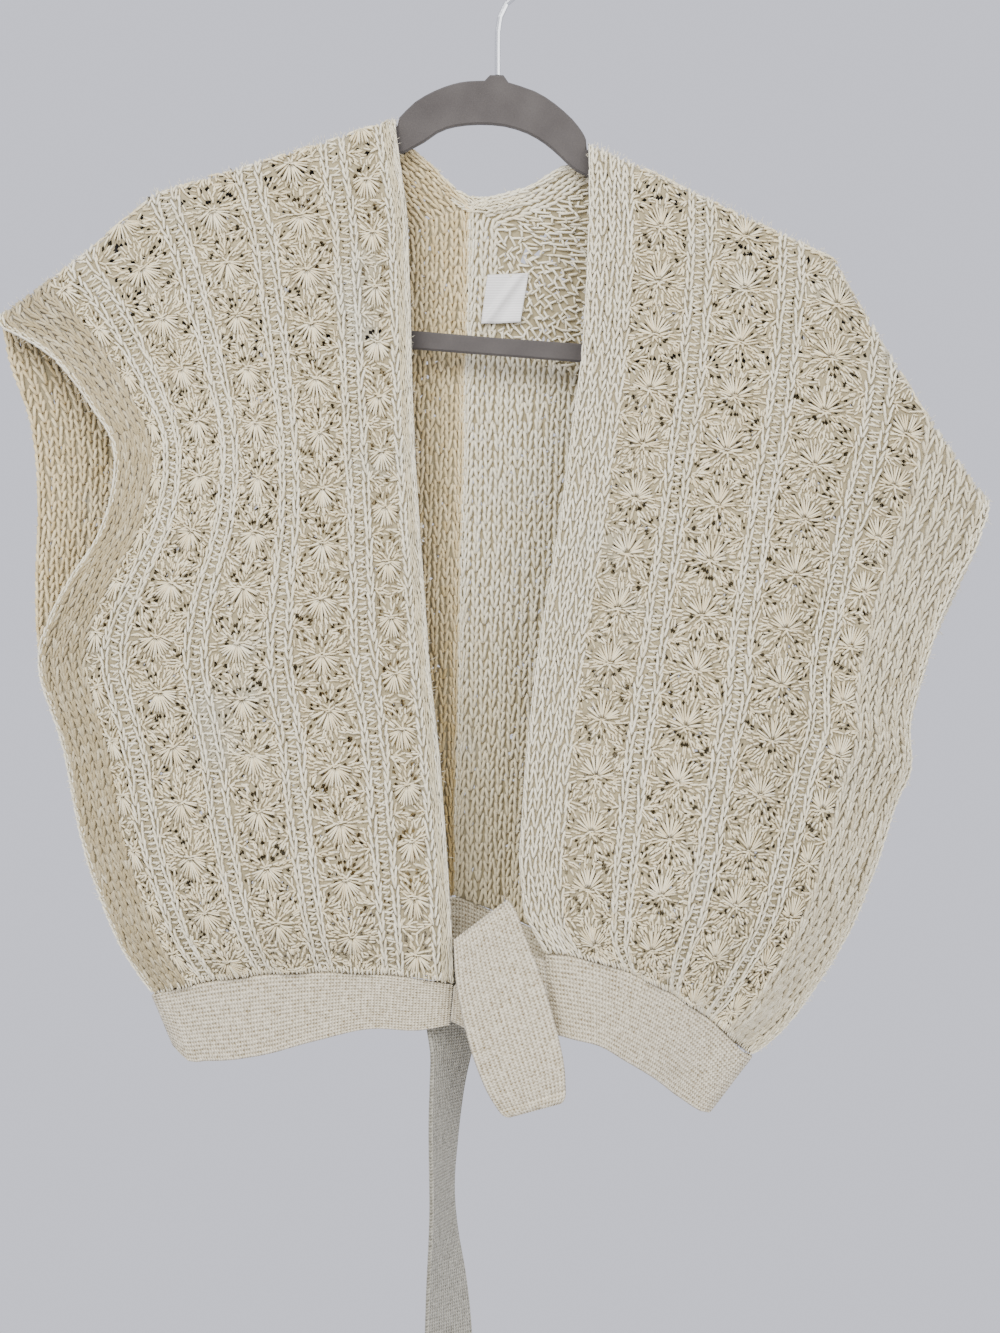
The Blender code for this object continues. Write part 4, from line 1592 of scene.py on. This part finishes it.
@dataclass
class HalfKnit:
    """One half of the vest: a thin net of yarn with real gaps, and the stitches raised on it."""

    name: str
    form: HalfForm
    net_thick: float = 1.1
    star_height: float = 33.0
    fuzz_count: int = 1500
    fuzz_at_armhole: float = 0.24
    fuzz_at_edges: float = 0.36
    fuzz_below_fold: float = 0.86
    random: np.random.Generator = field(init=False)

    def __post_init__(self) -> None:
        """Start the half's own fixed sequence of random draws."""
        self.random = np.random.default_rng(SEED + self.form.side.value)

    def patches(self) -> tuple[Patch, Patch]:
        """The front and the back."""
        return (self.form.front_patch, self.form.back_patch)

    def knitters(self, bundle: StrandBundle) -> Iterator[Knitter]:
        """Turn from the front to the back, with strands as fine as each face needs.

        Args:
            bundle: Where the strands go.

        Yields:
            What lays the strands of each face.
        """
        for patch in self.patches():
            bundle.rings = RINGS[patch.face]
            yield Knitter(patch, bundle, self.random)

    def star_zones(self) -> list[tuple[float, float]]:
        """Find the zones between the lines of chains.

        Returns:
            The middle and the width of each.
        """
        stitches = self.form.stitches
        lines = [(stitches.edge_wales[-1], EDGE_REACH)]
        lines += [(at, PAIR_REACH) for at in stitches.pairs]
        lines += [(stitches.armhole_wales[0], ARMHOLE_REACH)]
        zones = []
        for (low, reach), (high, before) in zip(lines[:-1], lines[1:]):
            start = low + reach
            end = high - before
            zones.append(((start + end) / 2.0, end - start))
        return zones

    def build_chains(self) -> bpy.types.Object:
        """Lay every chain of loops on the outside, but for those beside the armhole.

        Returns:
            The joined strands.
        """
        stitches = self.form.stitches
        is_right = self.form.side is Side.RIGHT
        bundle = StrandBundle()
        for work in self.knitters(bundle):
            work.lay_wale(PANEL_WIDTH - 1.0, ARMHOLE_ROPE)
            work.lay_wale(0.6, FRONT_ROPE)
            if work.patch.face is Face.BACK and is_right:
                work.lay_wale(4.6, BACK_SEAM_WALE)
            work.lay_hem()
            for at in stitches.edge_wales:
                work.lay_wale(at, EDGE_WALE)
            work.slit_rows(stitches.edge_wales)
            for at in stitches.pairs:
                work.lay_wale(at - PAIR_SPLIT, PAIR_WALE)
                work.lay_wale(at + PAIR_SPLIT, PAIR_WALE)
                work.lay_ladder(at)
        if is_right:
            bundle.rings = RINGS[Face.FRONT]
            self.lay_rolled_edge(bundle)
        return bundle.piece(self.name + "_chains")

    def build_armhole(self) -> bpy.types.Object:
        """Lay the chains beside the armhole, which turn away from the light.

        Returns:
            The joined strands.
        """
        bundle = StrandBundle()
        # Painted shade: these chains take a deeper tone and the darker side finish, as they turn
        # from the light
        wale = Wale(ARMHOLE_WIDTH, ARMHOLE_LIFT, ARMHOLE_PAINTED_SHADE_TONES[self.form.side])
        wales = self.form.stitches.armhole_wales
        for work in self.knitters(bundle):
            for at in wales:
                work.lay_wale(at, wale)
            work.slit_rows(wales)
        return bundle.piece(self.name + "_armhole")

    def lay_rolled_edge(self, bundle: StrandBundle) -> None:
        """Lay the brushed, rolled edge of the right front: fine fibres that run along it.

        Args:
            bundle: Where the fibres go.
        """
        patch = self.form.front_patch
        top = float(patch.top(0.0))
        for at in np.linspace(*ROLL_LINES):
            middles = np.arange(3.0, top, ROLL_PITCH) + self.random.uniform(-3.0, 3.0)
            sway = self.random.normal(0.0, 0.8, (len(middles), 1)) * np.array((-1.0, 0.3, 1.0))
            ups = middles[:, None] + np.array((-6.0, 0.0, 6.0))
            ats = np.clip(at + sway, 0.0, None)
            height = 1.0 + 1.1 * math.sin(math.pi * (at + 1.0) / 9.0)
            heights = np.full_like(ups, height) + self.random.normal(0.0, 0.4, (len(middles), 1))
            keep = (middles > 1.0) & (middles < top)
            ups = np.clip(ups, 0.2, patch.top(ats) + 0.4)
            radius = np.tile((0.35, 0.62, 0.35), (len(middles), 1))
            bright = 0.6 if at < ROLL_BRIGHT else 0.0
            tone = self.random.uniform(bright, bright + 0.4, len(middles))
            bundle.lay(patch, ats[keep], ups[keep], heights[keep], radius[keep], tone[keep])

    def lay_neck(self, bundle: StrandBundle) -> None:
        """Lay the rows that carry the neck line across the seam between the halves.

        Args:
            bundle: Where the strands go.
        """
        spots = np.array(NECK_LINE)
        for row in range(NECK_ROWS):
            x = np.arange(spots[0, 0] + 3.0, spots[-1, 0] - 3.0, NECK_PITCH)
            x = x + self.random.normal(0.0, 0.5, len(x))
            z = np.interp(x, *spots.T) - 0.9 - NECK_ROW_STEP * row
            reach = self.random.uniform(2.4, 3.4, len(x))
            ahead, behind = (np.interp(x + step, *spots.T) for step in (2.0, -2.0))
            slope = ahead - behind
            tilt = slope / 4.0 + self.random.normal(0.0, 0.3, len(x)) + 0.35 * (-1.0) ** row
            for depth in (-1.3, 1.2):
                y = NECK_DEPTH + depth + self.random.normal(0.0, 0.25, len(x))
                centres = np.stack([
                    np.stack([x + step * reach, y, z + step * reach * tilt], axis=1)
                    for step in (-1.0, 0.0, 1.0)
                ], axis=1)
                normals = np.zeros_like(centres)
                normals[:, :, 1] = math.copysign(1.0, depth)
                radius = np.tile((0.6, 1.0, 0.6), (len(x), 1))
                bundle.spin(centres, normals, radius, self.random.uniform(0.3, 1.0, len(x)))

    def build_inside(self) -> bpy.types.Object:
        """Lay the chains on the inside of the back, where the front opening and armhole show it.

        Returns:
            The joined strands.
        """
        bundle = StrandBundle(bare=LABEL_SHADOW)
        work = Knitter(self.form.back_patch, bundle, self.random)
        is_left = self.form.side is Side.LEFT
        if is_left:
            self.lay_tangle(bundle)
            self.lay_neck(bundle)
        for at in np.arange(*INSIDE_AT_FRONT):
            ends = MESH_LOW if is_left and at > MESH_INNER else math.inf
            work.lay_wale(float(at), INSIDE_WALE, ends)
        for at in np.arange(*INSIDE_AT_ARMHOLE):
            work.lay_wale(float(at), INSIDE_WALE)
        work.lay_wale(1.2, SEAM_ROPES[self.form.side])
        return bundle.piece(self.name + "_inside")

    def lay_tangle(self, bundle: StrandBundle) -> None:
        """Lay the loose diagonal mesh beside the label, with gaps between its strands.

        Args:
            bundle: Where the strands go.
        """
        patch = self.form.back_patch
        places = []
        for column, at in enumerate(np.arange(MESH_INNER, MESH_OUTER, MESH_STEP)):
            top = float(patch.top(at))
            for row, up in enumerate(np.arange(MESH_LOW - 4.0, top, MESH_RISE)):
                turn = 1.0 if (row + column) % 2 else -1.0
                places.append((at, up + MESH_RISE / 2.0 * (column % 2), turn))
        at, up, turn = np.array(places).T
        count = len(at)
        at = at + self.random.normal(0.0, 0.7, count)
        up = up + self.random.normal(0.0, 0.7, count)
        angle = turn * self.random.normal(0.75, 0.3, count)
        reach = self.random.uniform(2.4, 4.2, count)
        steps = np.array((-1.0, 0.0, 1.0))
        bend = self.random.normal(0.0, 0.5, (count, 1)) * np.array((0.0, 1.0, 0.0))
        ats = at[:, None] + (np.sin(angle) * reach)[:, None] * steps + bend
        ups = up[:, None] + (np.cos(angle) * reach)[:, None] * steps + bend
        heights = -1.3 - self.random.uniform(0.0, 1.0, (count, 1)) * np.ones(3)
        radius = np.tile((0.6, 0.95, 0.6), (count, 1))
        ups = np.clip(ups, 0.3, patch.top(ats))
        tone = self.random.uniform(0.3, 1.0, count)
        bundle.lay(patch, ats, ups, heights, radius, tone)

    def build_fuzz(self) -> bpy.types.Object:
        """Scatter fine loose fibres over the half, most of them near its edges.

        Returns:
            The joined fibres.
        """
        bundle = StrandBundle(rings=1)
        count = self.fuzz_count
        for patch in self.patches():
            at = self.random.uniform(2.0, PANEL_WIDTH - 2.0, count)
            share = self.random.uniform(0.01, 1.0, count)
            edge = self.random.uniform(size=count)
            rim = np.abs(self.random.normal(0.0, 1.6, count))
            at = np.where(edge < self.fuzz_at_edges, rim, at)
            at = np.where(edge < self.fuzz_at_armhole, PANEL_WIDTH - rim, at)
            share = np.where(edge > self.fuzz_below_fold, 1.0 - 0.004 * rim, share)
            up = share * patch.top(at)
            ats = np.stack([at, at, at], axis=1)
            ups = np.stack([up, up, up], axis=1)
            centres, normals = patch.place(ats, ups, 1.4)
            way = unit(self.random.normal(0.0, 1.0, (count, 3)) + 0.5 * normals[:, 0])
            outside = np.where(at > PANEL_WIDTH / 2.0, 1.0, -1.0) * self.form.side.value
            way[:, 0] += np.where(edge < self.fuzz_at_edges, 0.8 * outside, 0.0)
            way[:, 2] += np.where(edge > self.fuzz_below_fold, 0.8, 0.0)
            long = self.random.uniform(2.0, 5.5, (count, 1))
            curl = self.random.normal(0.0, 0.8, (count, 3))
            centres[:, 1] += unit(way) * long * 0.55 + curl * 0.5
            centres[:, 2] += unit(way) * long + curl
            radius = np.full((count, 3), 0.16)
            bundle.spin(centres, normals, radius, self.random.uniform(0.6, 1.0, count))
        return bundle.piece(self.name + "_fuzz")

    def build_stars(self, patch: Patch) -> bpy.types.Object:
        """Lay the columns of stars of the front or of the back, and note their holes.

        Args:
            patch: The cloth.

        Returns:
            The joined strands.
        """
        bundle = StrandBundle(rings=RINGS[patch.face])
        work = Knitter(patch, bundle, self.random)
        high = self.star_height
        for column, (at, width) in enumerate(self.star_zones()):
            start = high * (0.45 + 0.31 * column % 1.0) - high
            ats, ups = work.centres(at, high, start, high)
            for turn in range(STAR_KINDS):
                seed = SEED + STAR_SEEDS * column + turn
                motif = StarChart(width, high, seed, HOLE_SHARES[patch.face]).chart()
                centres = (ats[turn::STAR_KINDS], ups[turn::STAR_KINDS])
                work.lay_motif(centres, motif, float(self.form.side.value))
        return bundle.piece(f"{self.name}_{patch.face.value}_stars")

    def hole_outlines(self) -> tuple[list, list]:
        """Lay the noted holes out flat, the front below NET_SCALE and the back above it.

        Returns:
            Corners of all the outlines, and each outline's numbers in that list.
        """
        corners = []
        outlines = []
        for patch in self.patches():
            for outline in patch.holes:
                share = outline[:, 1] / patch.top(outline[:, 0])
                share = share if patch.face is Face.FRONT else 2.0 - share
                flat = np.stack([outline[:, 0], share * NET_SCALE], axis=1)
                run = np.roll(flat, -1, axis=0) - flat
                after = np.roll(run, -1, axis=0)
                bends = run[:, 0] * after[:, 1] - run[:, 1] * after[:, 0]
                if bends.sum() < 0.0:
                    flat = flat[::-1]
                    bends = -bends
                if bends.min() < NET_LEAST_BEND:
                    continue
                outlines.append(list(range(len(corners), len(corners) + len(outline))))
                corners += [Vector(point) for point in flat]
        return corners, outlines

    def build_net(self) -> bpy.types.Object:
        """Cut the noted holes out of a thin closed wall on the half's form.

        Returns:
            The net.
        """
        corners, outlines = self.hole_outlines()
        rows = np.arange(0.0, 2.0 * NET_SCALE + 1.0, NET_ROW_STEP)
        rows = np.union1d(rows, NET_FOLD_ROWS)
        for x in np.linspace(0.0, PANEL_WIDTH, NET_COLUMNS):
            corners += [Vector((x, y)) for y in rows]
        found = delaunay_2d_cdt(corners, [], outlines, 0, 1e-3)
        flat = np.array([(point.x, point.y) for point in found[0]])
        faces = np.array([face for face, source in zip(found[2], found[5]) if not source])
        at = np.clip(flat[:, 0], 0.0, PANEL_WIDTH)
        share = np.clip(flat[:, 1] / NET_SCALE, 0.0, 2.0)
        is_front = (share <= 1.0)[:, None]
        front, back = self.patches()
        layers = []
        for height in (self.net_thick / 2.0, -self.net_thick / 2.0):
            low, _ = front.place(at, share * front.top(at), height)
            high, _ = back.place(at, (2.0 - share) * back.top(at), height)
            layers.append(np.where(is_front, low, high))
        return self.close(layers[0], layers[1], faces)

    def close(self, outer: np.ndarray, inner: np.ndarray, faces: np.ndarray) -> bpy.types.Object:
        """Close a wall from its outer and inner points, with a rim round each hole.

        Args:
            outer: Points of the outer layer.
            inner: Points of the inner layer, in the same order.
            faces: Triangles, for both layers.

        Returns:
            The closed wall, its inner layer in the second material slot.
        """
        used = np.unique(faces)
        renumber = np.zeros(len(outer), dtype=int)
        renumber[used] = np.arange(len(used))
        faces = renumber[faces]
        outer = outer[used]
        inner = inner[used]
        first, second, third = faces[:4000].T
        turned = np.cross(outer[second] - outer[first], outer[third] - outer[first])
        if (turned * (outer - inner)[first]).sum() < 0.0:
            faces = faces[:, ::-1]
        size = len(outer)
        edges = np.concatenate([faces[:, [0, 1]], faces[:, [1, 2]], faces[:, [2, 0]]])
        keys = np.sort(edges, axis=1)
        _, first, counts = np.unique(
            keys[:, 0] * size + keys[:, 1], return_index=True, return_counts=True
        )
        rim = edges[first[counts == 1]]
        walls = np.concatenate([
            np.stack([rim[:, 1], rim[:, 0], rim[:, 0] + size], axis=1),
            np.stack([rim[:, 1], rim[:, 0] + size, rim[:, 1] + size], axis=1),
        ])
        everything = np.concatenate([faces, walls, faces[:, ::-1] + size])
        piece = mesh_piece(self.name + "_net", np.concatenate([outer, inner]), everything)
        slots = np.zeros(len(everything), dtype=np.int32)
        slots[len(faces) + len(walls):] = 1
        piece.data.polygons.foreach_set("material_index", slots)
        set_tone(piece, np.full(2 * size, NET_TONE))
        return piece

    def build(self, finishes: "KnitFinishes") -> None:
        """Args:
            finishes: The yarns' materials.
        """
        lit = self.form.side is Side.LEFT
        chains = self.build_chains()
        armhole = self.build_armhole()
        stars = [self.build_stars(patch) for patch in self.patches()]
        inside = self.build_inside()
        fuzz = self.build_fuzz()
        net = self.build_net()
        # Painted shade: the net takes the darker ground copy, and on the right half its inner layer
        # the still darker shade copy
        dress(net, [finishes.ground, finishes.ground if lit else finishes.shade])
        dress(chains, [finishes.chain])
        # Painted shade on the armhole chains; painted light on the left inside and painted shade on
        # the right inside
        dress(armhole, [finishes.side])
        dress(inside, [finishes.pale if lit else finishes.warm])
        dress(fuzz, [finishes.chain])
        for piece in stars:
            dress(piece, [finishes.yarn])
        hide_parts(self.name)


# Stations of a puffed end, as distances from it
END_STATIONS = (8.6, 7.6, 6.9, 6.2, 5.5, 4.8, 3.6, 2.4, 1.4, 0.7, 0.25, 0.0)
# Its sewn dip and the puff beyond it: distance from the end, width and height
END_SEAM = (6.2, 0.9, -0.42)
END_PUFF = (3.0, 2.2, 0.3)
END_DRAW = 5.0


@dataclass
class JerseyStrip:
    """A strip of jersey folded double: a flat tube with soft rounded edges."""

    node: str
    lines: list
    thick: float = BAND_THICK
    step: float = 4.0
    wave: float = 0.0
    puffed: bool = False
    ribs: int = 19
    rib: float = 0.28
    column: float = 2.1
    puff_reach: float = 9.0

    def centre_lines(self) -> tuple[np.ndarray, np.ndarray]:
        """Cross lines resampled at an even step.

        Returns:
            Start and end points of each cross line.
        """
        starts, ends = (np.array(points, dtype=float) for points in zip(*self.lines))
        known = polyline_lengths((starts + ends) / 2.0)
        total = known[-1]
        wanted = np.linspace(0.0, total, max(2, math.ceil(total / self.step)) + 1)
        if self.puffed:
            near = [point for point in wanted if point < total - self.puff_reach]
            wanted = np.array(near + [total - back for back in END_STATIONS])
        return self.curve(starts, known, wanted), self.curve(ends, known, wanted)

    def curve(self, points: np.ndarray, known: np.ndarray, wanted: np.ndarray) -> np.ndarray:
        """Smooth curve through points.

        Args:
            points: The points.
            known: Lengths at which they lie.
            wanted: Lengths at which to read the curve.

        Returns:
            One point a wanted length.
        """
        tangents = np.gradient(points, known, axis=0)
        index = np.clip(np.searchsorted(known, wanted, side="right") - 1, 0, len(known) - 2)
        span = (known[index + 1] - known[index])[:, None]
        share = ((wanted - known[index])[:, None]) / span
        square = share * share
        cube = square * share
        return (
            (2 * cube - 3 * square + 1) * points[index]
            + (cube - 2 * square + share) * span * tangents[index]
            + (3 * square - 2 * cube) * points[index + 1]
            + (cube - square) * span * tangents[index + 1]
        )

    def swelling(self, left: np.ndarray) -> np.ndarray:
        """How thick the strip is along its length: even, or puffed and rounded at its end.

        Args:
            left: Distances from its end.

        Returns:
            Shares of its full thickness.
        """
        if not self.puffed:
            return np.ones_like(left)
        tip = np.clip(1.0 - (left + 0.1) / 2.0, 0.0, 1.0)
        rounded = np.sqrt(np.clip(1.0 - tip ** 2, 0.05, 1.0))
        for at, width, height in (END_SEAM, END_PUFF):
            rounded = rounded * (1.0 + height * np.exp(-(((left - at) / width) ** 2)))
        return rounded

    def narrowing(self, left: np.ndarray) -> np.ndarray:
        """How much a puffed end draws in, so that its corners are round.

        Args:
            left: Distances from its end.

        Returns:
            Shares of its width.
        """
        if not self.puffed:
            return np.zeros_like(left)
        near = np.clip(1.0 - left / END_DRAW, 0.0, 1.0)
        return 0.2 * (1.0 - np.sqrt(1.0 - 0.98 * near ** 2))

    def profile(self, width: float) -> tuple[np.ndarray, np.ndarray]:
        """Go once round the strip, over its front and back under it.

        Args:
            width: Its mean width.

        Returns:
            Shares of its width, and how far each place stands out of its middle.
        """
        half = self.thick / 2.0
        share = np.linspace(0.0, 1.0, 4 * self.ribs + 1)
        edge = np.minimum(share, 1.0 - share) * width
        swell = np.sqrt(np.maximum(0.0, 1.0 - np.maximum(0.0, 1.0 - edge / half) ** 2))
        ridge = self.rib * np.sqrt(np.abs(np.sin(math.pi * share * self.ribs)))
        depth = swell * (half - self.rib + ridge)
        shares = np.concatenate([share, share[-2:0:-1]])
        return shares, np.concatenate([depth, -depth[-2:0:-1]])

    def build(
        self, jersey: bpy.types.Material, flat: tuple, rests_on: list, held: str = "hung"
    ) -> None:
        """Args:
            jersey: Its finish.
            flat: Folded width and length, in metres; not used.
            rests_on: What carries it; not used.
            held: How it is held; not used.
        """
        starts, ends = self.centre_lines()
        span = ends - starts
        rows = len(starts)
        outward = unit(np.cross(span, np.gradient(starts + ends, axis=0)))
        shares, depths = self.profile(float(np.linalg.norm(span, axis=1).mean()))
        travelled = polyline_lengths((starts + ends) / 2.0)
        left = travelled[-1] - travelled
        sway = np.sin(travelled[:, None] / 5.1 + 3.0 * shares)
        sway = sway + 0.7 * np.sin(travelled[:, None] / 2.3 - 5.0 * shares)
        reach = depths * self.swelling(left)[:, None] + self.wave * sway
        across = 0.5 + (shares - 0.5) * (1.0 - self.narrowing(left)[:, None])
        points = starts[:, None] + span[:, None] * across[:, :, None]
        points = points + outward[:, None] * reach[:, :, None]
        size = len(shares)
        index = np.arange(rows * size).reshape(rows, size)
        after = np.roll(index, -1, axis=1)
        faces = np.stack([index[:-1], after[:-1], after[1:], index[1:]], axis=-1).reshape(-1, 4)
        steps = np.arange(size // 2)
        cap = np.stack([steps + 1, steps, (size - steps) % size, size - steps - 1], axis=1)
        faces = np.concatenate([faces, index[0][cap], index[-1][cap][:, ::-1]])
        piece = mesh_piece(self.node + "_jersey", points.reshape(-1, 3), faces)
        places = np.stack([
            np.repeat(travelled, size), np.tile(shares * self.ribs * self.column, rows)
        ], axis=1) * MM
        layer = piece.data.uv_layers.new(name="cloth")
        layer.data.foreach_set("uv", places[faces.ravel()].astype(np.float32).ravel())
        dress(piece, [jersey])
        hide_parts(self.node)


@dataclass
class WaistAndTies:
    """Waistband, knot and both ties, all of one folded strip of jersey."""

    right: HalfForm
    left: HalfForm

    def station(self, half: HalfForm, end: int, drop: BandDrop) -> tuple[np.ndarray, np.ndarray]:
        """Find a place of the waistband under a hem.

        Args:
            half: The half it hangs from.
            end: Which of its courses is the hem, first or last.
            drop: Where the place is, and how the band drops there.

        Returns:
            Lower and upper middle points of the band.
        """
        top = half.line_point(half.courses[end], drop.along)
        top = top - np.array((0.0, 0.0, BAND_CLEARANCE))
        return top + np.array((drop.drop_x, drop.drop_y, drop.drop_z)), top

    def side_turn(self, half: HalfForm, drop: BandDrop, outwards: float) -> list:
        """Stations that carry the band round the side, from front to back.

        Args:
            half: The half it hangs from.
            drop: How the band drops there.
            outwards: 1 or -1, the way outwards along x.

        Returns:
            Lower and upper points of each.
        """
        ends = self.station(half, 0, drop)
        stations = []
        for depth, push in ((-BAND_SIDE_TURN, 0.0), (0.0, BAND_SIDE_TURN), (BAND_SIDE_TURN, 0.0)):
            stations.append([np.array((x + outwards * push, depth, z)) for x, _, z in ends])
        return stations

    def back_drop(self, along: float, side_drop: BandDrop) -> BandDrop:
        """Drop of the band across the back, from the side's to the middle's.

        Args:
            along: Share of the way from the middle to the side.
            side_drop: Drop at the side.

        Returns:
            The drop there.
        """
        share = float(smooth_step(along))
        return BandDrop(along, *[
            blend(BACK_BAND_DROP[place], side_drop[place], share) for place in (1, 2, 3)
        ])

    def band_lines(self) -> list:
        """Stations of the waistband from the right front's edge to the left front's edge.

        Returns:
            Lower and upper points of each.
        """
        stations = [self.station(self.right, 0, drop) for drop in RIGHT_FRONT_BAND]
        stations += self.side_turn(self.right, RIGHT_SIDE_DROP, -1.0)
        for step in range(1, BACK_BAND_STEPS):
            drop = self.back_drop(1.0 - step / BACK_BAND_STEPS, RIGHT_SIDE_DROP)
            stations.append(self.station(self.right, -1, drop))
        for step in range(BACK_BAND_STEPS):
            drop = self.back_drop(step / BACK_BAND_STEPS, LEFT_SIDE_DROP)
            stations.append(self.station(self.left, -1, drop))
        stations += reversed(self.side_turn(self.left, LEFT_SIDE_DROP, 1.0))
        stations += [self.station(self.left, 0, drop) for drop in LEFT_FRONT_BAND]
        return stations

    def build(self, jersey: bpy.types.Material, shaded: bpy.types.Material) -> None:
        """Build the band, the knot and the ties.

        Args:
            jersey: Their finish.
            shaded: Finish of the long tie, darker and greyer: painted shade, as the tie turns from
                the light.
        """
        knot, short_tie, long_tie = (
            [row.ends() for row in rows] for rows in (KNOT, SHORT_TIE, LONG_TIE)
        )
        JerseyStrip("waistband", self.band_lines(), step=6.0, wave=0.22).build(
            jersey, (0.74, 0.045), ["right_half_net", "left_half_net"]
        )
        JerseyStrip("tie_knot", knot, KNOT_THICK).build(
            jersey, (0.06, 0.045), ["waistband_jersey"], "folded"
        )
        JerseyStrip("short_tie", short_tie, wave=0.12, puffed=True).build(
            jersey, (0.045, 0.17), ["tie_knot_jersey"], "folded"
        )
        JerseyStrip("long_tie", long_tie, step=6.0).build(
            shaded, (0.04, 0.31), ["tie_knot_jersey"]
        )


@dataclass
class NeckLabel:
    """Blank satin label, sewn inside the back neck and slightly creased."""

    steps: int = 24
    thick: float = 0.5

    def surface(self, front: float) -> np.ndarray:
        """Lay out the label's front with its crease, its dent and its curled edges.

        Args:
            front: How deep its plane lies.

        Returns:
            Points, as row and column.
        """
        corners = np.array(LABEL_CORNERS)
        rows = []
        for down in np.arange(self.steps + 1) / self.steps:
            line = []
            for across in np.arange(self.steps + 1) / self.steps:
                top = blend(corners[0], corners[1], across)
                low = blend(corners[3], corners[2], across)
                x, z = blend(top, low, down)
                crease = math.exp(-(((across - 0.75 * (1.0 - down) - 0.1) / 0.12) ** 2))
                dent = math.exp(-(((across + 0.5 * down - 0.95) / 0.16) ** 2))
                curl = 1.8 * (across - 0.5) ** 2 + 1.4 * smooth_step((down - 0.6) / 0.4)
                line.append((x, front + 0.9 - 1.5 * crease + 0.8 * dent - curl, z))
            rows.append(line)
        return np.array(rows)

    def build(self, satin: bpy.types.Material) -> None:
        """Args:
            satin: Its finish.
        """
        low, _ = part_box("neck_label")
        outer = self.surface(low[1] / MM - 0.5)
        inner = outer + np.array((0.0, self.thick, 0.0))
        size = self.steps + 1
        total = size * size
        index = np.arange(total).reshape(size, size)
        quads = np.stack([
            index[:-1, :-1], index[1:, :-1], index[1:, 1:], index[:-1, 1:]
        ], axis=-1).reshape(-1, 4)
        rim = np.concatenate([index[0], index[1:, -1], index[-1, -2::-1], index[-2:0:-1, 0]])
        ahead = np.roll(rim, -1)
        walls = np.stack([rim, ahead, ahead + total, rim + total], axis=1)
        faces = np.concatenate([quads, walls, quads[:, ::-1] + total])
        points = np.concatenate([outer.reshape(-1, 3), inner.reshape(-1, 3)])
        piece = mesh_piece("neck_label_satin", points, faces)
        dress(piece, [satin])
        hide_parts("neck_label")


@dataclass
class Studio:
    """Pale floor, soft frontal light and the photograph's camera."""

    floor_z: float = -1.25
    floor_size: float = 2.4
    floor_colour: str = "#DADADD"
    backdrop: str = "#D3D4E0"
    backdrop_strength: float = 1.34

    def build(self) -> None:
        """Set up the floor, the world, the lights and the camera."""
        self.build_floor()
        self.build_world()
        self.add_light("key", (-0.8, -2.0, 1.1), 1.3, 75.0)
        self.add_light("fill", (1.2, -2.2, 0.2), 1.6, 30.0)
        self.add_light("back", (0.6, 2.2, 0.7), 1.6, 42.0)
        self.build_camera()

    def build_floor(self) -> None:
        """Lay a plain pale floor well below the vest."""
        half = self.floor_size / 2.0 / MM
        z = self.floor_z / MM
        points = np.array([(-half, -half, z), (half, -half, z), (half, half, z), (-half, half, z)])
        floor = mesh_piece("floor", points, np.array([(0, 1, 2, 3)]))
        material, shader = start_material("painted_floor")
        wire(material, shader, {"Base Color": linear(self.floor_colour), "Roughness": 0.8}, {})
        floor.data.materials.append(material)

    def build_world(self) -> None:
        """Fill the surroundings with pale light."""
        world = bpy.data.worlds.new("studio")
        world.use_nodes = True
        background = world.node_tree.nodes["Background"]
        background.inputs["Color"].default_value = linear(self.backdrop)
        background.inputs["Strength"].default_value = self.backdrop_strength
        bpy.context.scene.world = world

    def add_light(self, name: str, place: tuple, size: float, power: float) -> None:
        """Add a square soft light that faces the vest.

        Args:
            name: Name of the light.
            place: Where it stands.
            size: Its side.
            power: Its power in watts.
        """
        data = bpy.data.lights.new(name, "AREA")
        data.size = size
        data.energy = power
        light = bpy.data.objects.new(name, data)
        light.location = place
        aim = Vector((VIEW_X, 0.0, VIEW_Z)) - light.location
        light.rotation_euler = aim.to_track_quat("-Z", "Y").to_euler()
        bpy.context.scene.collection.objects.link(light)

    def build_camera(self) -> None:
        """Place the camera where the photograph was taken from."""
        data = bpy.data.cameras.new("camera")
        data.sensor_fit = "VERTICAL"
        data.sensor_height = 36.0
        data.lens = LENS_HIGH
        camera = bpy.data.objects.new("camera", data)
        camera.location = (VIEW_X, -VIEW_DISTANCE, VIEW_Z)
        camera.rotation_euler = (math.radians(90.0), 0.0, 0.0)
        bpy.context.scene.collection.objects.link(camera)
        bpy.context.scene.camera = camera


def dress_node(node: str, material: bpy.types.Material) -> None:
    """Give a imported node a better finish.

    Args:
        node: The node's name.
        material: Its finish.
    """
    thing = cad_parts[node]
    for slot in thing.material_slots:
        slot.material = material
    LOG.info("%s: dressed", node)


def main() -> None:
    """Dress the whole vest."""
    logging.basicConfig(level=logging.INFO, format="%(message)s")
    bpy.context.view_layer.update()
    Studio().build()
    right = HalfForm(
        RIGHT_FRONT, RIGHT_SHOULDER, RIGHT_BACK, RIGHT_DRAPES, RIGHT_STITCHES, Side.RIGHT
    )
    left = HalfForm(LEFT_FRONT, LEFT_SHOULDER, LEFT_BACK, LEFT_DRAPES, LEFT_STITCHES, Side.LEFT)
    finishes = KnitFinishes.make()
    HalfKnit("right_half", right).build(finishes)
    HalfKnit("left_half", left).build(finishes)
    WaistAndTies(right, left).build(
        JerseyYarn().build(),
        # The long tie's copy is darker and greyer: painted shade where it turns from the light
        JerseyYarn("fine_jersey_painted_shade", light="#B5B1A1", deep="#5F5A4A").build(),
    )
    NeckLabel().build(WovenSatin().build())
    dress_node("hanger", FlockedVelvet().build())
    dress_node("hook", ChromedSteel().build())


if __name__ == "__main__":
    main()
